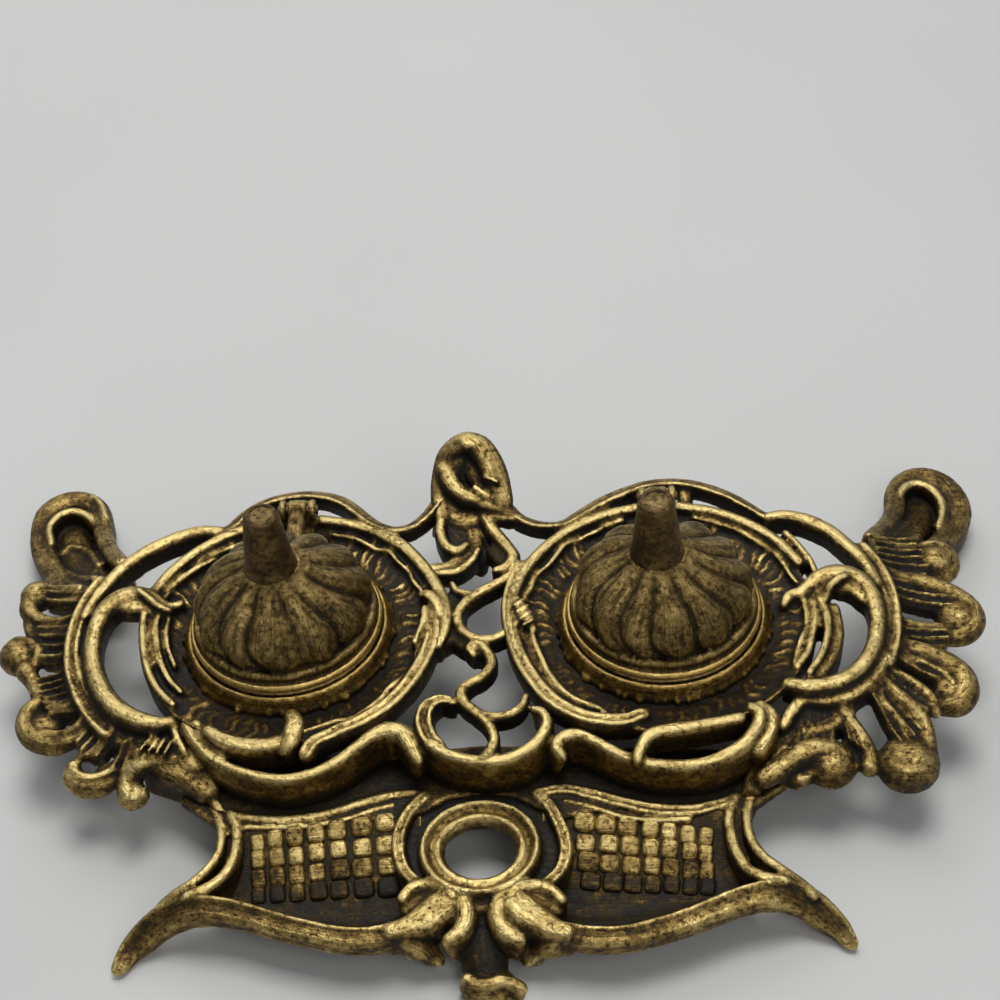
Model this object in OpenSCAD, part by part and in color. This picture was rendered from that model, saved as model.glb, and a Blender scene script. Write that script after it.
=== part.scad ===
// Double desk inkstand in cast brass: a rococo gallery with two hinged wells over a low pen tray.
// Millimetres, +Z up. The origin is on the table, under the middle of the stand.

/* [Gallery] */
// Distance between the centres of the two wells
well_spacing = 85; // [83:0.5:92]
// Radius of the raised rail around each well
rail_r = 34.5; // [33.5:0.5:36]
// Height of the rail's crest above the table
crest_h = 27; // [26:0.5:31]
// Width of the rail
rail_w = 3.2; // [2.6:0.1:3.8]
// Depth of the dish, from the rail's crest down to the floor
dish_depth = 5; // [4:0.5:6]
// Thickness of the cast dish and of the shell work
cast_t = 2.6; // [2.2:0.1:3.2]
// How far the wells' axis lies behind the middle of the stand
well_back = 8.9; // [6:0.1:12]
// How far the wells sit to the left of the scroll work around them
wells_left = 1.5; // [0:0.1:2]
// How far the wells sit behind the middle of the scroll work around them
wells_behind = 1.2; // [0:0.1:2]

/* [Pen tray] */
// Half width of the tray, from the middle to its side border
tray_half = 55; // [50:0.5:58]
// Height of the tray's back edge, where the gallery stands on it
tray_top = 13; // [12:0.5:14]
// Depth of the pen bowls below that edge
bowl_depth = 5.8; // [4.5:0.1:6.5]
// Thickness of the tray's casting
tray_t = 2.2; // [1.8:0.1:2.8]
// Diameter of the hole in the front ring
ring_bore = 16.4; // [14:0.2:17.4]
// Outer diameter of the front ring
ring_d = 26; // [24:0.5:28]

/* [Wells] */
// Outer diameter of the ink pot's body
pot_d = 35.6; // [33:0.2:36.4]
// Height of the ink pot
pot_h = 21; // [16:0.5:22]
// Wall of the ink pot
pot_wall = 2.4; // [1.8:0.1:3]
// How far the pot's flange stands out from its body
flange_out = 1.8; // [1.2:0.1:1.9]
// Thickness of the pot's flange
flange_t = 2; // [1.4:0.1:2.4]
// Height of the collar above the dish's floor
collar_h = 5; // [4.4:0.1:6]
// Wall of the collar outside the pot's flange
collar_wall = 2.1; // [1.6:0.1:2.4]

/* [Lids] */
// Diameter of the lid's rim
lid_d = 43.4; // [42.4:0.2:44.4]
// Height of the lid, from its rim to the foot of the finial
lid_h = 18.2; // [16:0.2:20]
// Wall of the lid
lid_wall = 1.7; // [1.4:0.1:2]
// Number of swirling lobes on the lid
lobes = 12; // [9:1:14]
// Depth of the grooves between the lobes
lobe_depth = 1.3; // [0.6:0.1:1.6]
// How far the lobes turn from rim to top, in degrees
lobe_swirl = 20; // [0:2:60]
// Height of the finial
finial_h = 15.6; // [14:0.2:18]
// Diameter of the finial's foot
finial_foot_d = 12; // [11:0.2:13]
// Diameter of the finial's tip
finial_tip_d = 7.8; // [7.2:0.2:9]
// How far the finial stands to the left of the lid's middle
finial_left = 1.2; // [0:0.1:2]
// Diameter of the rod that holds the finial
rod_d = 2.8; // [2.2:0.1:3.2]

/* [Hinge] */
// Distance of the hinge axis behind the well's centre
hinge_reach = 33; // [32.5:0.5:34.5]
// Height of the hinge axis above the lid's seat
hinge_rise = 3.6; // [3.4:0.1:4.4]
// Diameter of the hinge pin
pin_d = 2.2; // [1.8:0.1:2.6]
// Diameter of the hinge knuckle
knuckle_d = 5.6; // [5.2:0.1:6.2]
// Width of the lid's knuckle
knuckle_w = 5; // [4.4:0.2:6]
// Width of each ear
ear_w = 1.7; // [1.4:0.1:2.2]
// How far the lid opens, in degrees
lid_opens = 104; // [100:1:106]

/* [Fits] */
// Running clearance around the pins and rods, on the radius
bore_fit = 0.04; // [0.02:0.01:0.08]
// Clearance beside moving parts
side_fit = 0.2; // [0.1:0.05:0.3]
// Clearance around the pot and the collar's spigot, on the radius
seat_fit = 0.3; // [0.2:0.05:0.4]
// Height of the hair gap under a part that rests on another
rest_gap = 0.1; // [0.05:0.01:0.15]

/* [Hidden] */

brass = [0.72, 0.58, 0.30];
dull_brass = [0.45, 0.35, 0.20];
glass = [0.75, 0.82, 0.80];

well_x = well_spacing / 2;
floor_z = crest_h - dish_depth;
seat_z = floor_z + collar_h;            // top of the collar, where the lid rests
flange_r = pot_d / 2 + flange_out;
collar_bore_r = pot_d / 2 + seat_fit;
collar_seat_r = flange_r + seat_fit;
collar_r = collar_seat_r + collar_wall;
spigot_wall = 1.5;
spigot_h = 2.2;
spigot_r = collar_bore_r + spigot_wall;
dish_bore_r = spigot_r + seat_fit;
hinge_z = seat_z + hinge_rise;
ear_gap = knuckle_w + 2 * side_fit;     // room between the two ears
hinge_w = ear_gap + 2 * ear_w;          // over both ears
tongue_t = 2.4;
tongue_top = hinge_z - knuckle_d / 2 - rest_gap;
arm_rise = knuckle_d / 2 - 0.4;         // top of the lid's arm above the axis
arm_below = 1.4;
stop_front = knuckle_d / 2 + 0.35;      // the stop stands this far behind the axis
stop_t = 1.8;
stop_angle = lid_opens + 2;
// the stop is as high as the arm's top face needs to land on it at that angle
stop_rise = (arm_rise - stop_front * sin(stop_angle)) / cos(stop_angle);
notch_room = 0.4;
rim_room = 0.5;
ring_y = -54.5;

// The scroll points are drawn around a well with a rail of this radius, and grow with the rail
drawn_rail_r = 34.5;
drawn_gap = 8;                          // half the gap between the rails, as drawn
rail_scale = rail_r / drawn_rail_r;
crest_scale = crest_h / 27;             // the rear feet are drawn for a crest at 27
gap_scale = (well_x - rail_r) / drawn_gap;
tray_scale = tray_half / 55;

// ---------------------------------------------------------------- curves and scrolls

// A point on a smooth curve through p1 and p2
function blend(p0, p1, p2, p3, t) =
    0.5 * (2 * p1 + (p2 - p0) * t + (2 * p0 - 5 * p1 + 4 * p2 - p3) * t * t
           + (3 * p1 - p0 - 3 * p2 + p3) * t * t * t);

// Points along the smooth curve through a list of points, n to a stretch
function curve(p, n) =
    let (last = len(p) - 1)
    [for (i = [0 : last - 1], j = [0 : n - 1])
        blend(p[max(i - 1, 0)], p[i], p[i + 1], p[min(i + 2, last)], j / n),
     p[last]];

function unit(v) = v / norm(v);
function place3(q) = [q[0], q[1], q[2]];

// Section of a scroll: flat base, upright sides and a crowned crest
function section(w, d) =
    let (shoulder = min(0.42 * w, 0.8 * d))
    [[-w / 2, -d], [w / 2, -d], [w / 2, -shoulder], [0.24 * w, 0], [-0.24 * w, 0], [-w / 2, -shoulder]];

// One ring of section points at station i of the path q
function ring_at(q, i) =
    let (t = unit(place3(q[min(i + 1, len(q) - 1)]) - place3(q[max(i - 1, 0)])),
         side = unit(cross(t, [0, 0, 1])),
         up = cross(side, t))
    [for (s = section(q[i][3], q[i][4])) place3(q[i]) + s[0] * side + s[1] * up];

// A cast scroll along points [x, y, height of its crest, width, depth]
module scroll(points, n = 2) {
    q = curve(points, n);
    m = 6;
    rings = len(q);
    skin = [for (i = [0 : rings - 1]) each ring_at(q, i)];
    sides = [for (i = [0 : rings - 2], j = [0 : m - 1])
        let (a = i * m + j, b = i * m + (j + 1) % m)
        each [[a, b, b + m], [a, b + m, a + m]]];
    polyhedron(skin, concat([[for (j = [m - 1 : -1 : 0]) j]], sides,
                            [[for (j = [0 : m - 1]) (rings - 1) * m + j]]), convexity = 6);
}

// Gallery points: x is outward and y is back from the well, z is above or below the crest's height
function at_well(side, pts) =
    [for (p = pts) [side * (well_x + p[0] * rail_scale), p[1] * rail_scale, crest_h + p[2], p[3], p[4]]];

// The same, for a wall that stands on the tray
function wall_at_well(side, pts) =
    [for (p = pts) [side * (well_x + p[0] * rail_scale), p[1] * rail_scale, crest_h + p[2], p[3],
                    crest_h + p[2] - tray_top]];

// Points between the two wells
function at_middle(pts) =
    [for (p = pts) [p[0] * gap_scale, p[1] * rail_scale, crest_h + p[2], p[3], p[4]]];

// Tray points: z is above or below the tray's back edge
function at_tray(side, pts) =
    [for (p = pts) [side * p[0] * tray_scale, p[1], tray_top + p[2], p[3], p[4]]];

// An arc of the rail, from angle a to angle b, 0 outward and 90 to the back
function rail_arc(side, a, b, w, d) =
    let (steps = ceil(abs(b - a) / 12))
    [for (i = [0 : steps])
        let (g = a + (b - a) * i / steps)
        [side * (well_x + rail_r * cos(g)), rail_r * sin(g), crest_h, w, d]];

// A chain of rounded knobs, points [x, y, z, radius]
module lobe(points) {
    for (i = [0 : len(points) - 2])
        hull() {
            for (p = [points[i], points[i + 1]])
                translate([p[0], p[1], p[2]]) sphere(r = p[3], $fn = 8);
        }
}

function lobe_at_well(side, pts) =
    [for (p = pts) [side * (well_x + p[0] * rail_scale), p[1] * rail_scale, crest_h + p[2], p[3]]];

// ---------------------------------------------------------------- gallery

// The dish around a well, from the collar's seat up to the rail
module dish(side) {
    outer = rail_r + rail_w / 2;
    low = 2;                            // the dish's edge lies this far below the crest
    translate([side * well_x, 0, 0])
        rotate_extrude($fn = 36)
            polygon([[dish_bore_r, floor_z - cast_t], [dish_bore_r, floor_z], [collar_r + 1.2, floor_z],
                     [rail_r - 5, floor_z + 0.45 * dish_depth], [rail_r - rail_w / 2, crest_h - low],
                     [outer, crest_h - low], [outer - 1, floor_z - cast_t]]);
}

// The gold rail, broken at the back for the hinge and faded out under the outer leaf
module rail(side, tail) {
    half_gap = asin((hinge_w / 2 + notch_room + 0.8) / rail_r);
    scroll(rail_arc(side, 90 - half_gap, 30, rail_w, 6), 1);
    scroll(concat(rail_arc(side, 90 + half_gap, 244, rail_w, 6), at_well(side, tail)), 1);
}

// Long C scrolls on the outer side of a well: the outer one carries the shell, the inner one
// ends in a leaf that curls over the dish
module side_scrolls(side) {
    scroll(at_well(side, [[22.5, 34.3, 0, 3.6, 5], [30, 33, 0.2, 4.2, 5.5], [36, 29.5, 0, 4.4, 6],
        [42.5, 23.5, -0.6, 4.6, 6], [46.8, 15, -1.2, 4.6, 6], [48.8, 6, -1.6, 4.6, 6],
        [49, -3, -1.8, 4.6, 6], [45.8, -14.5, -1.8, 5, 6], [39.5, -22, -1.4, 5.4, 6],
        [31, -26.3, -1.2, 5.4, 6], [22.5, -26, -1.5, 4.4, 6]]), 1);
    scroll(at_well(side, [[27.6, 8.4, -0.6, 2.4, 3], [31.5, 9.4, 0, 4.2, 4], [35.8, 13.6, 1.2, 6.2, 5],
        [40.4, 14.8, 1.4, 6.6, 6], [44, 11, 0.2, 5.4, 6], [46, 5, -0.8, 4.2, 6], [46, -2, -1, 4, 6],
        [44, -9.5, -0.8, 4.8, 6], [40, -15.5, -0.4, 5.6, 6], [34.5, -19.6, -0.4, 5.6, 6],
        [28.5, -20.8, -1.2, 4.2, 6], [24, -20.6, -2.4, 3, 5]]));
}

// The shell work outside the C scroll: a fan of flutes that end in rolled knobs
module shell(side, fan) {
    for (f = fan) lobe(lobe_at_well(side, f));
}

// Thin web that ties the shell and the scrolls together, with its open slots [x, y, half width]
module web(side, slots) {
    rim = [[30, 30], [38, 27], [46, 22], [56, 21], [60, 12], [61, 3], [59, -8], [56, -17],
           [49, -25], [40, -30], [32, -31], [24, -27]];
    inner = [[31, -20], [37, -15], [41.5, -8], [43.5, 0], [42.5, 8], [38, 14], [33, 20]];
    translate([side * well_x, 0, crest_h - 8.5]) scale([side * rail_scale, rail_scale, 1])
        linear_extrude(height = cast_t) difference() {
            polygon(concat(rim, inner));
            for (s = slots) hull() for (p = s) translate([p[0], p[1]]) circle(r = p[2], $fn = 8);
        }
}

// Rear corner scroll that comes down to the table as a foot, with a hollow like a spoon
module rear_foot(side) {
    foot_z = 8.6;
    function foot(pts) = [for (p = pts)
        [side * (well_x + p[0] * rail_scale), p[1] * rail_scale, p[2] * crest_scale, p[3],
         min(p[4], p[2]) * crest_scale]];
    scroll(foot([[45, 24, 24, 6, 5], [50, 33, 20, 6, 6], [53.5, 41, 13.5, 6, 7],
        [56.8, 50, 9.6, 5.6, 9], [58.5, 57.5, foot_z, 6.4, 9], [62.5, 63, foot_z, 8.4, 9],
        [68, 62.5, foot_z, 9.2, 9], [71.3, 56.5, foot_z, 9, 9], [71, 48.5, foot_z + 0.4, 8.2, 9],
        [67, 40.5, 11, 7.6, 8], [62.5, 33, 14, 7.4, 6], [58, 26, 17, 6.6, 5]]));
    translate([side * (well_x + 63.5 * rail_scale), 51 * rail_scale, 0])
        cylinder(h = 4.6, r = 8, $fn = 12);
    lobe([for (p = [[59, 42, 7, 4.4], [52, 28, 16, 3.4]])
        [side * (well_x + p[0] * rail_scale), p[1] * rail_scale, p[2] * crest_scale, p[3]]]);
}

// Arch behind each well, from the outer scroll to the crest leaf
module back_arch(side) {
    scroll(at_well(side, [[22, 32.5, -0.6, 3, 4], [12.5, 39, 0.4, 3.8, 5], [4, 42.8, 1, 4.2, 5],
        [-5, 41.8, 1, 4.2, 5], [-14, 36, 0.4, 3.8, 5], [-21.6, 31.2, 0, 3.4, 5],
        [-27.5, 31.6, 0.2, 3.4, 5], [-32.5, 36, 1.5, 4, 5]]));
    // short webs that tie the arch to the rail on both sides of the hinge
    for (x = [-10.5, 10.5])
        scroll(at_well(side, [[x * 0.9, 33.5, -1.2, 3.2, 4], [x, 39.5, -0.6, 3.2, 4]]), 1);
}

// Hooded crest leaf between the wells: a rolled rim around a hollow, leaning back
module crest_leaf() {
    scroll(at_middle([[-9.8, 31.5, 0.4, 3.6, 4], [-10.2, 37, 3, 4.6, 6], [-9.6, 43, 7, 5.2, 7],
        [-7.6, 48, 10.4, 5.8, 8], [-3.6, 50.4, 12, 6, 8], [0.6, 48, 10.8, 6.4, 8],
        [3.6, 43, 7.6, 6.4, 7], [6.4, 37.5, 3.6, 5.2, 6], [9.4, 34, 1.4, 4, 5]]));
    lobe([for (p = [[-3.6, 45.5, 3.6, 3.6], [-3.2, 38, -0.6, 4.4], [0, 32, -3, 3.4]])
        [p[0] * gap_scale, p[1] * rail_scale, crest_h + p[2], p[3]]]);
}

// Openwork between the wells, front to back
module middle_scrolls() {
    // bands that hang from the crest leaf
    scroll(at_middle([[-2.6, 36.5, 1.6, 4, 5], [2.6, 31, 0.6, 3.6, 5], [6, 26, 0, 3.4, 5],
        [5.4, 21, -0.4, 3, 4], [2.6, 17, -1, 2.4, 4]]));
    scroll(at_middle([[-9.6, 35, 1, 3.4, 5], [-9.6, 29.5, 0, 3.2, 5], [-6.6, 25, -0.4, 2.8, 5],
        [-7.4, 20, -0.6, 2.8, 5], [-11.5, 17.6, -0.6, 3, 5]]), 1);
    // the C that closes on the right rail
    scroll(at_middle([[6.6, 26.5, 0, 3, 5], [7.9, 19, -0.4, 2.8, 5], [5.2, 13.6, -0.6, 2.6, 5],
        [0, 10.6, -0.6, 2.6, 5], [-4.6, 6.8, -0.6, 2.8, 5], [-5.8, 1.8, -0.6, 2.8, 5],
        [-3.4, -1.6, -0.6, 2.6, 5], [1, -2.9, -0.6, 2.4, 5], [6.8, -2.4, -0.8, 2.4, 5]]), 1);
    scroll(at_middle([[-8.4, 12.6, -0.6, 1.8, 4], [-5, 10, -0.6, 2.2, 4], [-1, 10.8, -0.6, 2, 4]]), 1);
    // tie between the C and the left rail
    scroll(at_middle([[-8.4, 4, -1.4, 3, 4], [-5.4, 3, -1, 3, 4]]), 1);
    // S scroll with its fork
    scroll(at_middle([[-1.6, -8.4, -1, 2.4, 5], [-1.7, -5.6, -0.8, 2.6, 5], [1.2, -6.6, -0.8, 2.8, 5],
        [2.6, -11, -0.8, 2.8, 5], [0, -14.8, -0.8, 2.6, 5], [-4.2, -17.4, -0.8, 3, 5],
        [-3.6, -21.4, -0.8, 3, 5], [1.4, -26, -0.8, 2.8, 5], [3.4, -30.4, -1, 2.6, 5],
        [2.8, -34.6, -1.4, 2.6, 5], [0.8, -38, -2, 2.6, 5]]), 1);
    scroll(at_middle([[0.6, -25.4, -1, 2.4, 5], [6.4, -26, -0.8, 2.4, 5], [11, -22, -1, 2.2, 5]]));
    scroll(at_middle([[-1.4, -3, -1.4, 2, 4], [-1.4, -7, -1.4, 2, 4]]), 1);
    // the two Cs over the middle apron
    scroll(at_middle([[-4.2, -19.6, -1.2, 2.2, 5], [-9.6, -20.4, -1, 2.8, 5], [-13, -24, -1.2, 3.2, 6],
        [-13, -29, -1.6, 3.2, 7], [-10.4, -33.4, -2, 3, 8]]), 1);
    scroll(at_middle([[11.4, -24.6, -1.2, 2.2, 5], [14.8, -26, -1.2, 2.8, 6], [15, -30, -1.6, 3, 7],
        [12, -33.8, -2, 3, 8]]), 1);
}

// Low walls in front of the wells, which stand on the tray
module aprons() {
    // middle
    scroll([for (p = [[-13.4, -29, -1.8], [-10.4, -33.6, -2.2], [-5.6, -37, -2.6], [1, -38, -2.8],
                      [7.4, -36.8, -2.6], [12, -33.6, -2.2], [15.4, -29.6, -1.8]])
        [p[0] * gap_scale, p[1] * rail_scale, crest_h + p[2], 3, crest_h + p[2] - tray_top]], 1);
    // left and right, each a bow with rolled ends
    scroll(wall_at_well(-1, [[23, -22.6, -1.8, 3], [17, -30.4, -2.4, 3.2], [9, -36, -3.2, 3.2],
        [-2.5, -39.4, -4, 3.2], [-14, -35.6, -3.4, 3.2], [-20, -29.8, -2.6, 3.4],
        [-24.4, -27.4, -2.2, 3.6], [-28.4, -30, -2.6, 3]]));
    scroll(wall_at_well(1, [[-28, -34.2, -2.8, 3], [-25.6, -31, -2.4, 3.4], [-21, -31, -2.4, 3.4],
        [-14, -34.6, -3, 3.2], [-7, -38, -3.8, 3.2], [4, -37.8, -3.8, 3.2], [13, -33.8, -2.8, 3.2],
        [17.6, -27.4, -2, 3.2], [20.6, -22.4, -1.6, 3.2]]));
}

// Short bars across the front of each dish
module front_bars() {
    scroll(at_well(-1, [[22, -24, -1.6, 3, 6], [15.4, -27.6, -2, 3, 6], [7.4, -29.4, -2.2, 3.4, 6],
        [0.6, -29.4, -1.6, 3.6, 6], [-2.2, -26, -0.8, 3.8, 6]]), 1);
    scroll(at_well(1, [[-9.4, -37, -3.2, 2.4, 6], [-7.4, -32.4, -2.4, 2.6, 6], [-3.6, -29.8, -2, 3, 6],
        [3.6, -29, -1.8, 3.2, 6], [13.8, -26.6, -1.6, 3, 6], [19.6, -24.6, -1.6, 2.6, 6]]), 1);
}

// Room in the dish and the rail for the collar's tongue and the lid's knuckle
module hinge_notch(side) {
    notch_w = hinge_w + 2 * notch_room;
    notch_end = hinge_reach + stop_front + stop_t + notch_room;
    translate([side * well_x - notch_w / 2, dish_bore_r, tongue_top - tongue_t - rest_gap])
        cube([notch_w, notch_end - dish_bore_r, 20]);
}

// Moves the dishes and rails to where the wells sit in the scroll work
module at_wells() {
    translate([-wells_left, wells_behind, 0]) children();
}

module gallery() {
    color(brass) translate([0, well_back, 0])
        difference() {
            union() {
                at_wells() {
                    for (side = [-1, 1]) dish(side);
                    rail(-1, [[-10, -33.4, -0.6, 3.4, 6], [-4.4, -35.4, -1.4, 3.6, 6]]);
                    rail(1, [[-13, -30.4, -0.4, 3.4, 6], [-9.4, -28.4, -1, 3, 6]]);
                }
                for (side = [-1, 1]) {
                    side_scrolls(side);
                    rear_foot(side);
                    back_arch(side);
                }
                shell(-1, [[[52, 15, -7, 2.4], [61, 18, -9.6, 2.4], [63.4, 23, -10.6, 3.4]],
                    [[54, 5, -7, 2.4], [62, 7, -10, 2.4], [67, 3, -11.4, 4]],
                    [[52, -9, -7, 2.4], [58.6, -13, -10.4, 2.4], [59, -19.4, -12, 4]],
                    [[40, -21, -6, 2.2], [44, -27, -10.4, 2.2], [47.4, -30.4, -13, 3.8]],
                    [[31, -26, -5, 2.4], [33.4, -31, -10, 2.4], [34.6, -33.6, -13, 3]]]);
                shell(1, [[[44.5, 21.5, -5, 2.6], [59.6, 26, -8.6, 2.6], [64, 21.6, -10.4, 3.4]],
                    [[52, 14, -7, 2.4], [61, 13, -9.6, 2.6], [67.4, 6, -11.4, 4]],
                    [[52, 0, -7, 2.4], [60, -7, -9.6, 2.6], [62.6, -15.6, -12, 4.2]],
                    [[45, -15, -6.6, 2.4], [51.4, -24, -10, 2.6], [49, -33.4, -13, 4.4]],
                    [[29, -26, -5, 3], [33.6, -28, -9, 3.2], [33.8, -31.4, -12.6, 3.8]]]);
                web(-1, [[[55, 14.4, 1.2], [58.6, 14.4, 1.4]], [[54.6, -2, 1.4], [57.6, -3.4, 1.2]],
                    [[49, -17, 1.2], [51.4, -20, 1.4]], [[36.6, -27, 1.2], [38.4, -30, 1.4]]]);
                web(1, [[[54.6, 8, 1.4], [59.6, 4, 1.6]], [[50, -9, 1.4], [55.6, -15, 1.6]],
                    [[39.6, -22.6, 1.4], [42, -29, 1.4]]]);
                crest_leaf();
                middle_scrolls();
                aprons();
                front_bars();
            }
            at_wells() for (side = [-1, 1]) hinge_notch(side);
            translate([-200, -200, -50]) cube([400, 400, 50]);
        }
}

// ---------------------------------------------------------------- pen tray

// Height of the bowl's surface along its depth, 0 at the back edge and 1 at the lip
bowl_steps = [[0, 0], [0.12, -0.18], [0.3, -0.5], [0.5, -0.86], [0.68, -1], [0.84, -0.8], [1, -0.1]];

// One bowl: a curved sheet from the ring's frame out to the side border
module bowl(side) {
    columns = [[14, -41, -67], [20, -41, -73.4], [30, -43, -74.6], [40, -44, -71.4], [48, -44.4, -68.4],
               [55, -44, -66.6]];
    rows = len(bowl_steps);
    top = [for (c = columns, s = bowl_steps)
        [side * c[0] * tray_scale, c[1] + (c[2] - c[1]) * s[0], tray_top + bowl_depth * s[1]]];
    count = len(top);
    under = [for (p = top) p - [0, 0, tray_t]];
    faces = [for (i = [0 : len(columns) - 2], j = [0 : rows - 2])
        let (a = i * rows + j, b = a + 1, c = a + rows, d = c + 1)
        each [[a, c, d], [a, d, b], [count + a, count + d, count + c], [count + a, count + b, count + d]]];
    edge_back = [for (i = [0 : len(columns) - 2]) let (a = i * rows, c = a + rows)
        each [[a, count + a, count + c], [a, count + c, c]]];
    edge_front = [for (i = [0 : len(columns) - 2]) let (a = i * rows + rows - 1, c = a + rows)
        each [[a, count + c, count + a], [a, c, count + c]]];
    edge_in = [for (j = [0 : rows - 2]) [[j, j + 1, count + j + 1], [j, count + j + 1, count + j]]];
    edge_out = [for (j = [0 : rows - 2]) let (a = count - rows + j)
        [[a, count + a + 1, a + 1], [a, count + a, count + a + 1]]];
    all_faces = concat(faces, edge_back, edge_front, [for (e = edge_in) each e], [for (e = edge_out) each e]);
    polyhedron(concat(top, under),
               side < 0 ? [for (f = all_faces) [f[0], f[2], f[1]]] : all_faces, convexity = 4);
}

// Flat shelf behind the bowls, on which the gallery's aprons stand
module shelf() {
    reach = [[14, -41], [30, -43.4], [44, -44.6], [56, -44], [62, -38], [64, -28], [56, -24], [44, -28],
             [20, -26], [12, -25]];
    translate([0, 0, tray_top - tray_t]) linear_extrude(height = tray_t)
        polygon(concat([for (p = reach) [p[0] * tray_scale, p[1]]],
                       [for (i = [len(reach) - 1 : -1 : 0]) [-reach[i][0] * tray_scale, reach[i][1]]]));
}

// Plate around the front ring
module ring_plate() {
    difference() {
        translate([0, 0, tray_top - 5]) linear_extrude(height = 3)
            polygon([[-13, -38], [13, -38], [17, -46], [17, -56], [13, -65], [6, -72], [-6, -72],
                     [-13, -65], [-17, -56], [-17, -46]]);
        translate([0, ring_y, 0]) cylinder(h = 30, d = ring_bore + 2, $fn = 16);
    }
}

// The open ring in the middle of the front
module front_ring() {
    r_in = ring_bore / 2;
    r_out = ring_d / 2;
    translate([0, ring_y, tray_top])
        rotate_extrude($fn = 32)
            polygon([[r_in, -5.5], [r_in, 0.4], [r_in + 0.45 * (r_out - r_in), 2], [r_out - 1, 1], [r_out, -1.4],
                     [r_out, -5.5]]);
}

// Lip, side border and the horn that runs down to the table as a front foot
module tray_borders(side) {
    scroll(at_tray(side, [[9, -67.6, 1.6, 3, 6.5], [13.4, -71.6, 1.8, 3.2, 7], [20, -74.6, 1.8, 3.4, 7],
        [31, -75, 1.6, 3.4, 7], [42, -71.6, 1.6, 3.6, 7], [51, -68, 1.8, 4.4, 7], [58, -65, 1.4, 6, 7],
        [64.6, -64.6, -1.2, 6.6, 6.4], [70.4, -67, -4.4, 5.8, 5], [75, -71.4, -7.8, 4.2, 4],
        [77.6, -76, -10.6, 2.4, 3]]));
    scroll(at_tray(side, [[56.6, -43.6, 0.8, 2.8, 6], [54.2, -50, 0.6, 2.8, 6], [54, -58, 0.8, 3, 6],
        [57, -64.6, 1.2, 3.4, 6]]), 1);
    scroll(at_tray(side, [[12.4, -40.6, 0.8, 2.4, 5], [16, -46, 1, 2.6, 5], [16.8, -54, 1, 2.6, 5],
        [14.4, -61.6, 1.2, 2.6, 5], [9.6, -66.6, 1.4, 2.8, 5]]));
    scroll(at_tray(side, [[56.6, -44, 0.8, 2.4, 4], [44, -44.8, 0.8, 2.2, 4], [32, -43.4, 0.8, 2.2, 4],
        [20, -39.8, 0.8, 2.2, 4], [12, -40.4, 0.8, 2.2, 4]]), 1);
}

// Scrolls, small palmette and drop at the middle of the front, the drop being the fifth foot
module front_ornament() {
    for (side = [-1, 1]) {
        scroll(at_tray(side, [[5.4, -64.4, 1.4, 3, 7], [10, -66.4, 2, 3.4, 8], [13, -70.4, 2, 3.4, 8],
            [10.6, -74.6, 1.6, 3.6, 8], [7.2, -72.6, 1.4, 3.2, 8], [8.4, -70, 1.4, 2.6, 8]]), 1);
        scroll(at_tray(side, [[4.4, -65, 1.2, 2.6, 7], [2.6, -69, 1, 2.8, 8], [3, -74, 0, 3, 8],
            [6, -78, -1.4, 3, 7]]), 1);
        lobe([[side * 3, -74, 7.4, 3], [side * 5, -79.4, 5, 2.6]]);
    }
    lobe([[0, -66, 9, 3], [0, -74, 7.6, 3.6], [0, -81.4, 4, 4.2]]);
    lobe([[-3.4, -82.6, 3, 3.2], [3.4, -82.6, 3, 3.2]]);
    lobe([[-3, -78, 3, 3], [-2, -83, 1.8, 3]]);
    lobe([[3, -78, 3, 3], [2, -83, 1.8, 3]]);
}

module pen_tray() {
    color(brass) translate([0, well_back, 0])
        difference() {
            union() {
                for (side = [-1, 1]) {
                    bowl(side);
                    tray_borders(side);
                }
                shelf();
                ring_plate();
                front_ring();
                front_ornament();
                hull() {
                    translate([-4, -73, tray_top - 5]) sphere(r = 2, $fn = 10);
                    translate([4, -73, tray_top - 5]) sphere(r = 2, $fn = 10);
                }
            }
            translate([-200, -200, -50]) cube([400, 400, 50]);
        }
}

// ---------------------------------------------------------------- wells

// Puts a well's part in its place
module at_side(side) {
    at_wells() translate([side * well_x, well_back, 0]) children();
}

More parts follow.
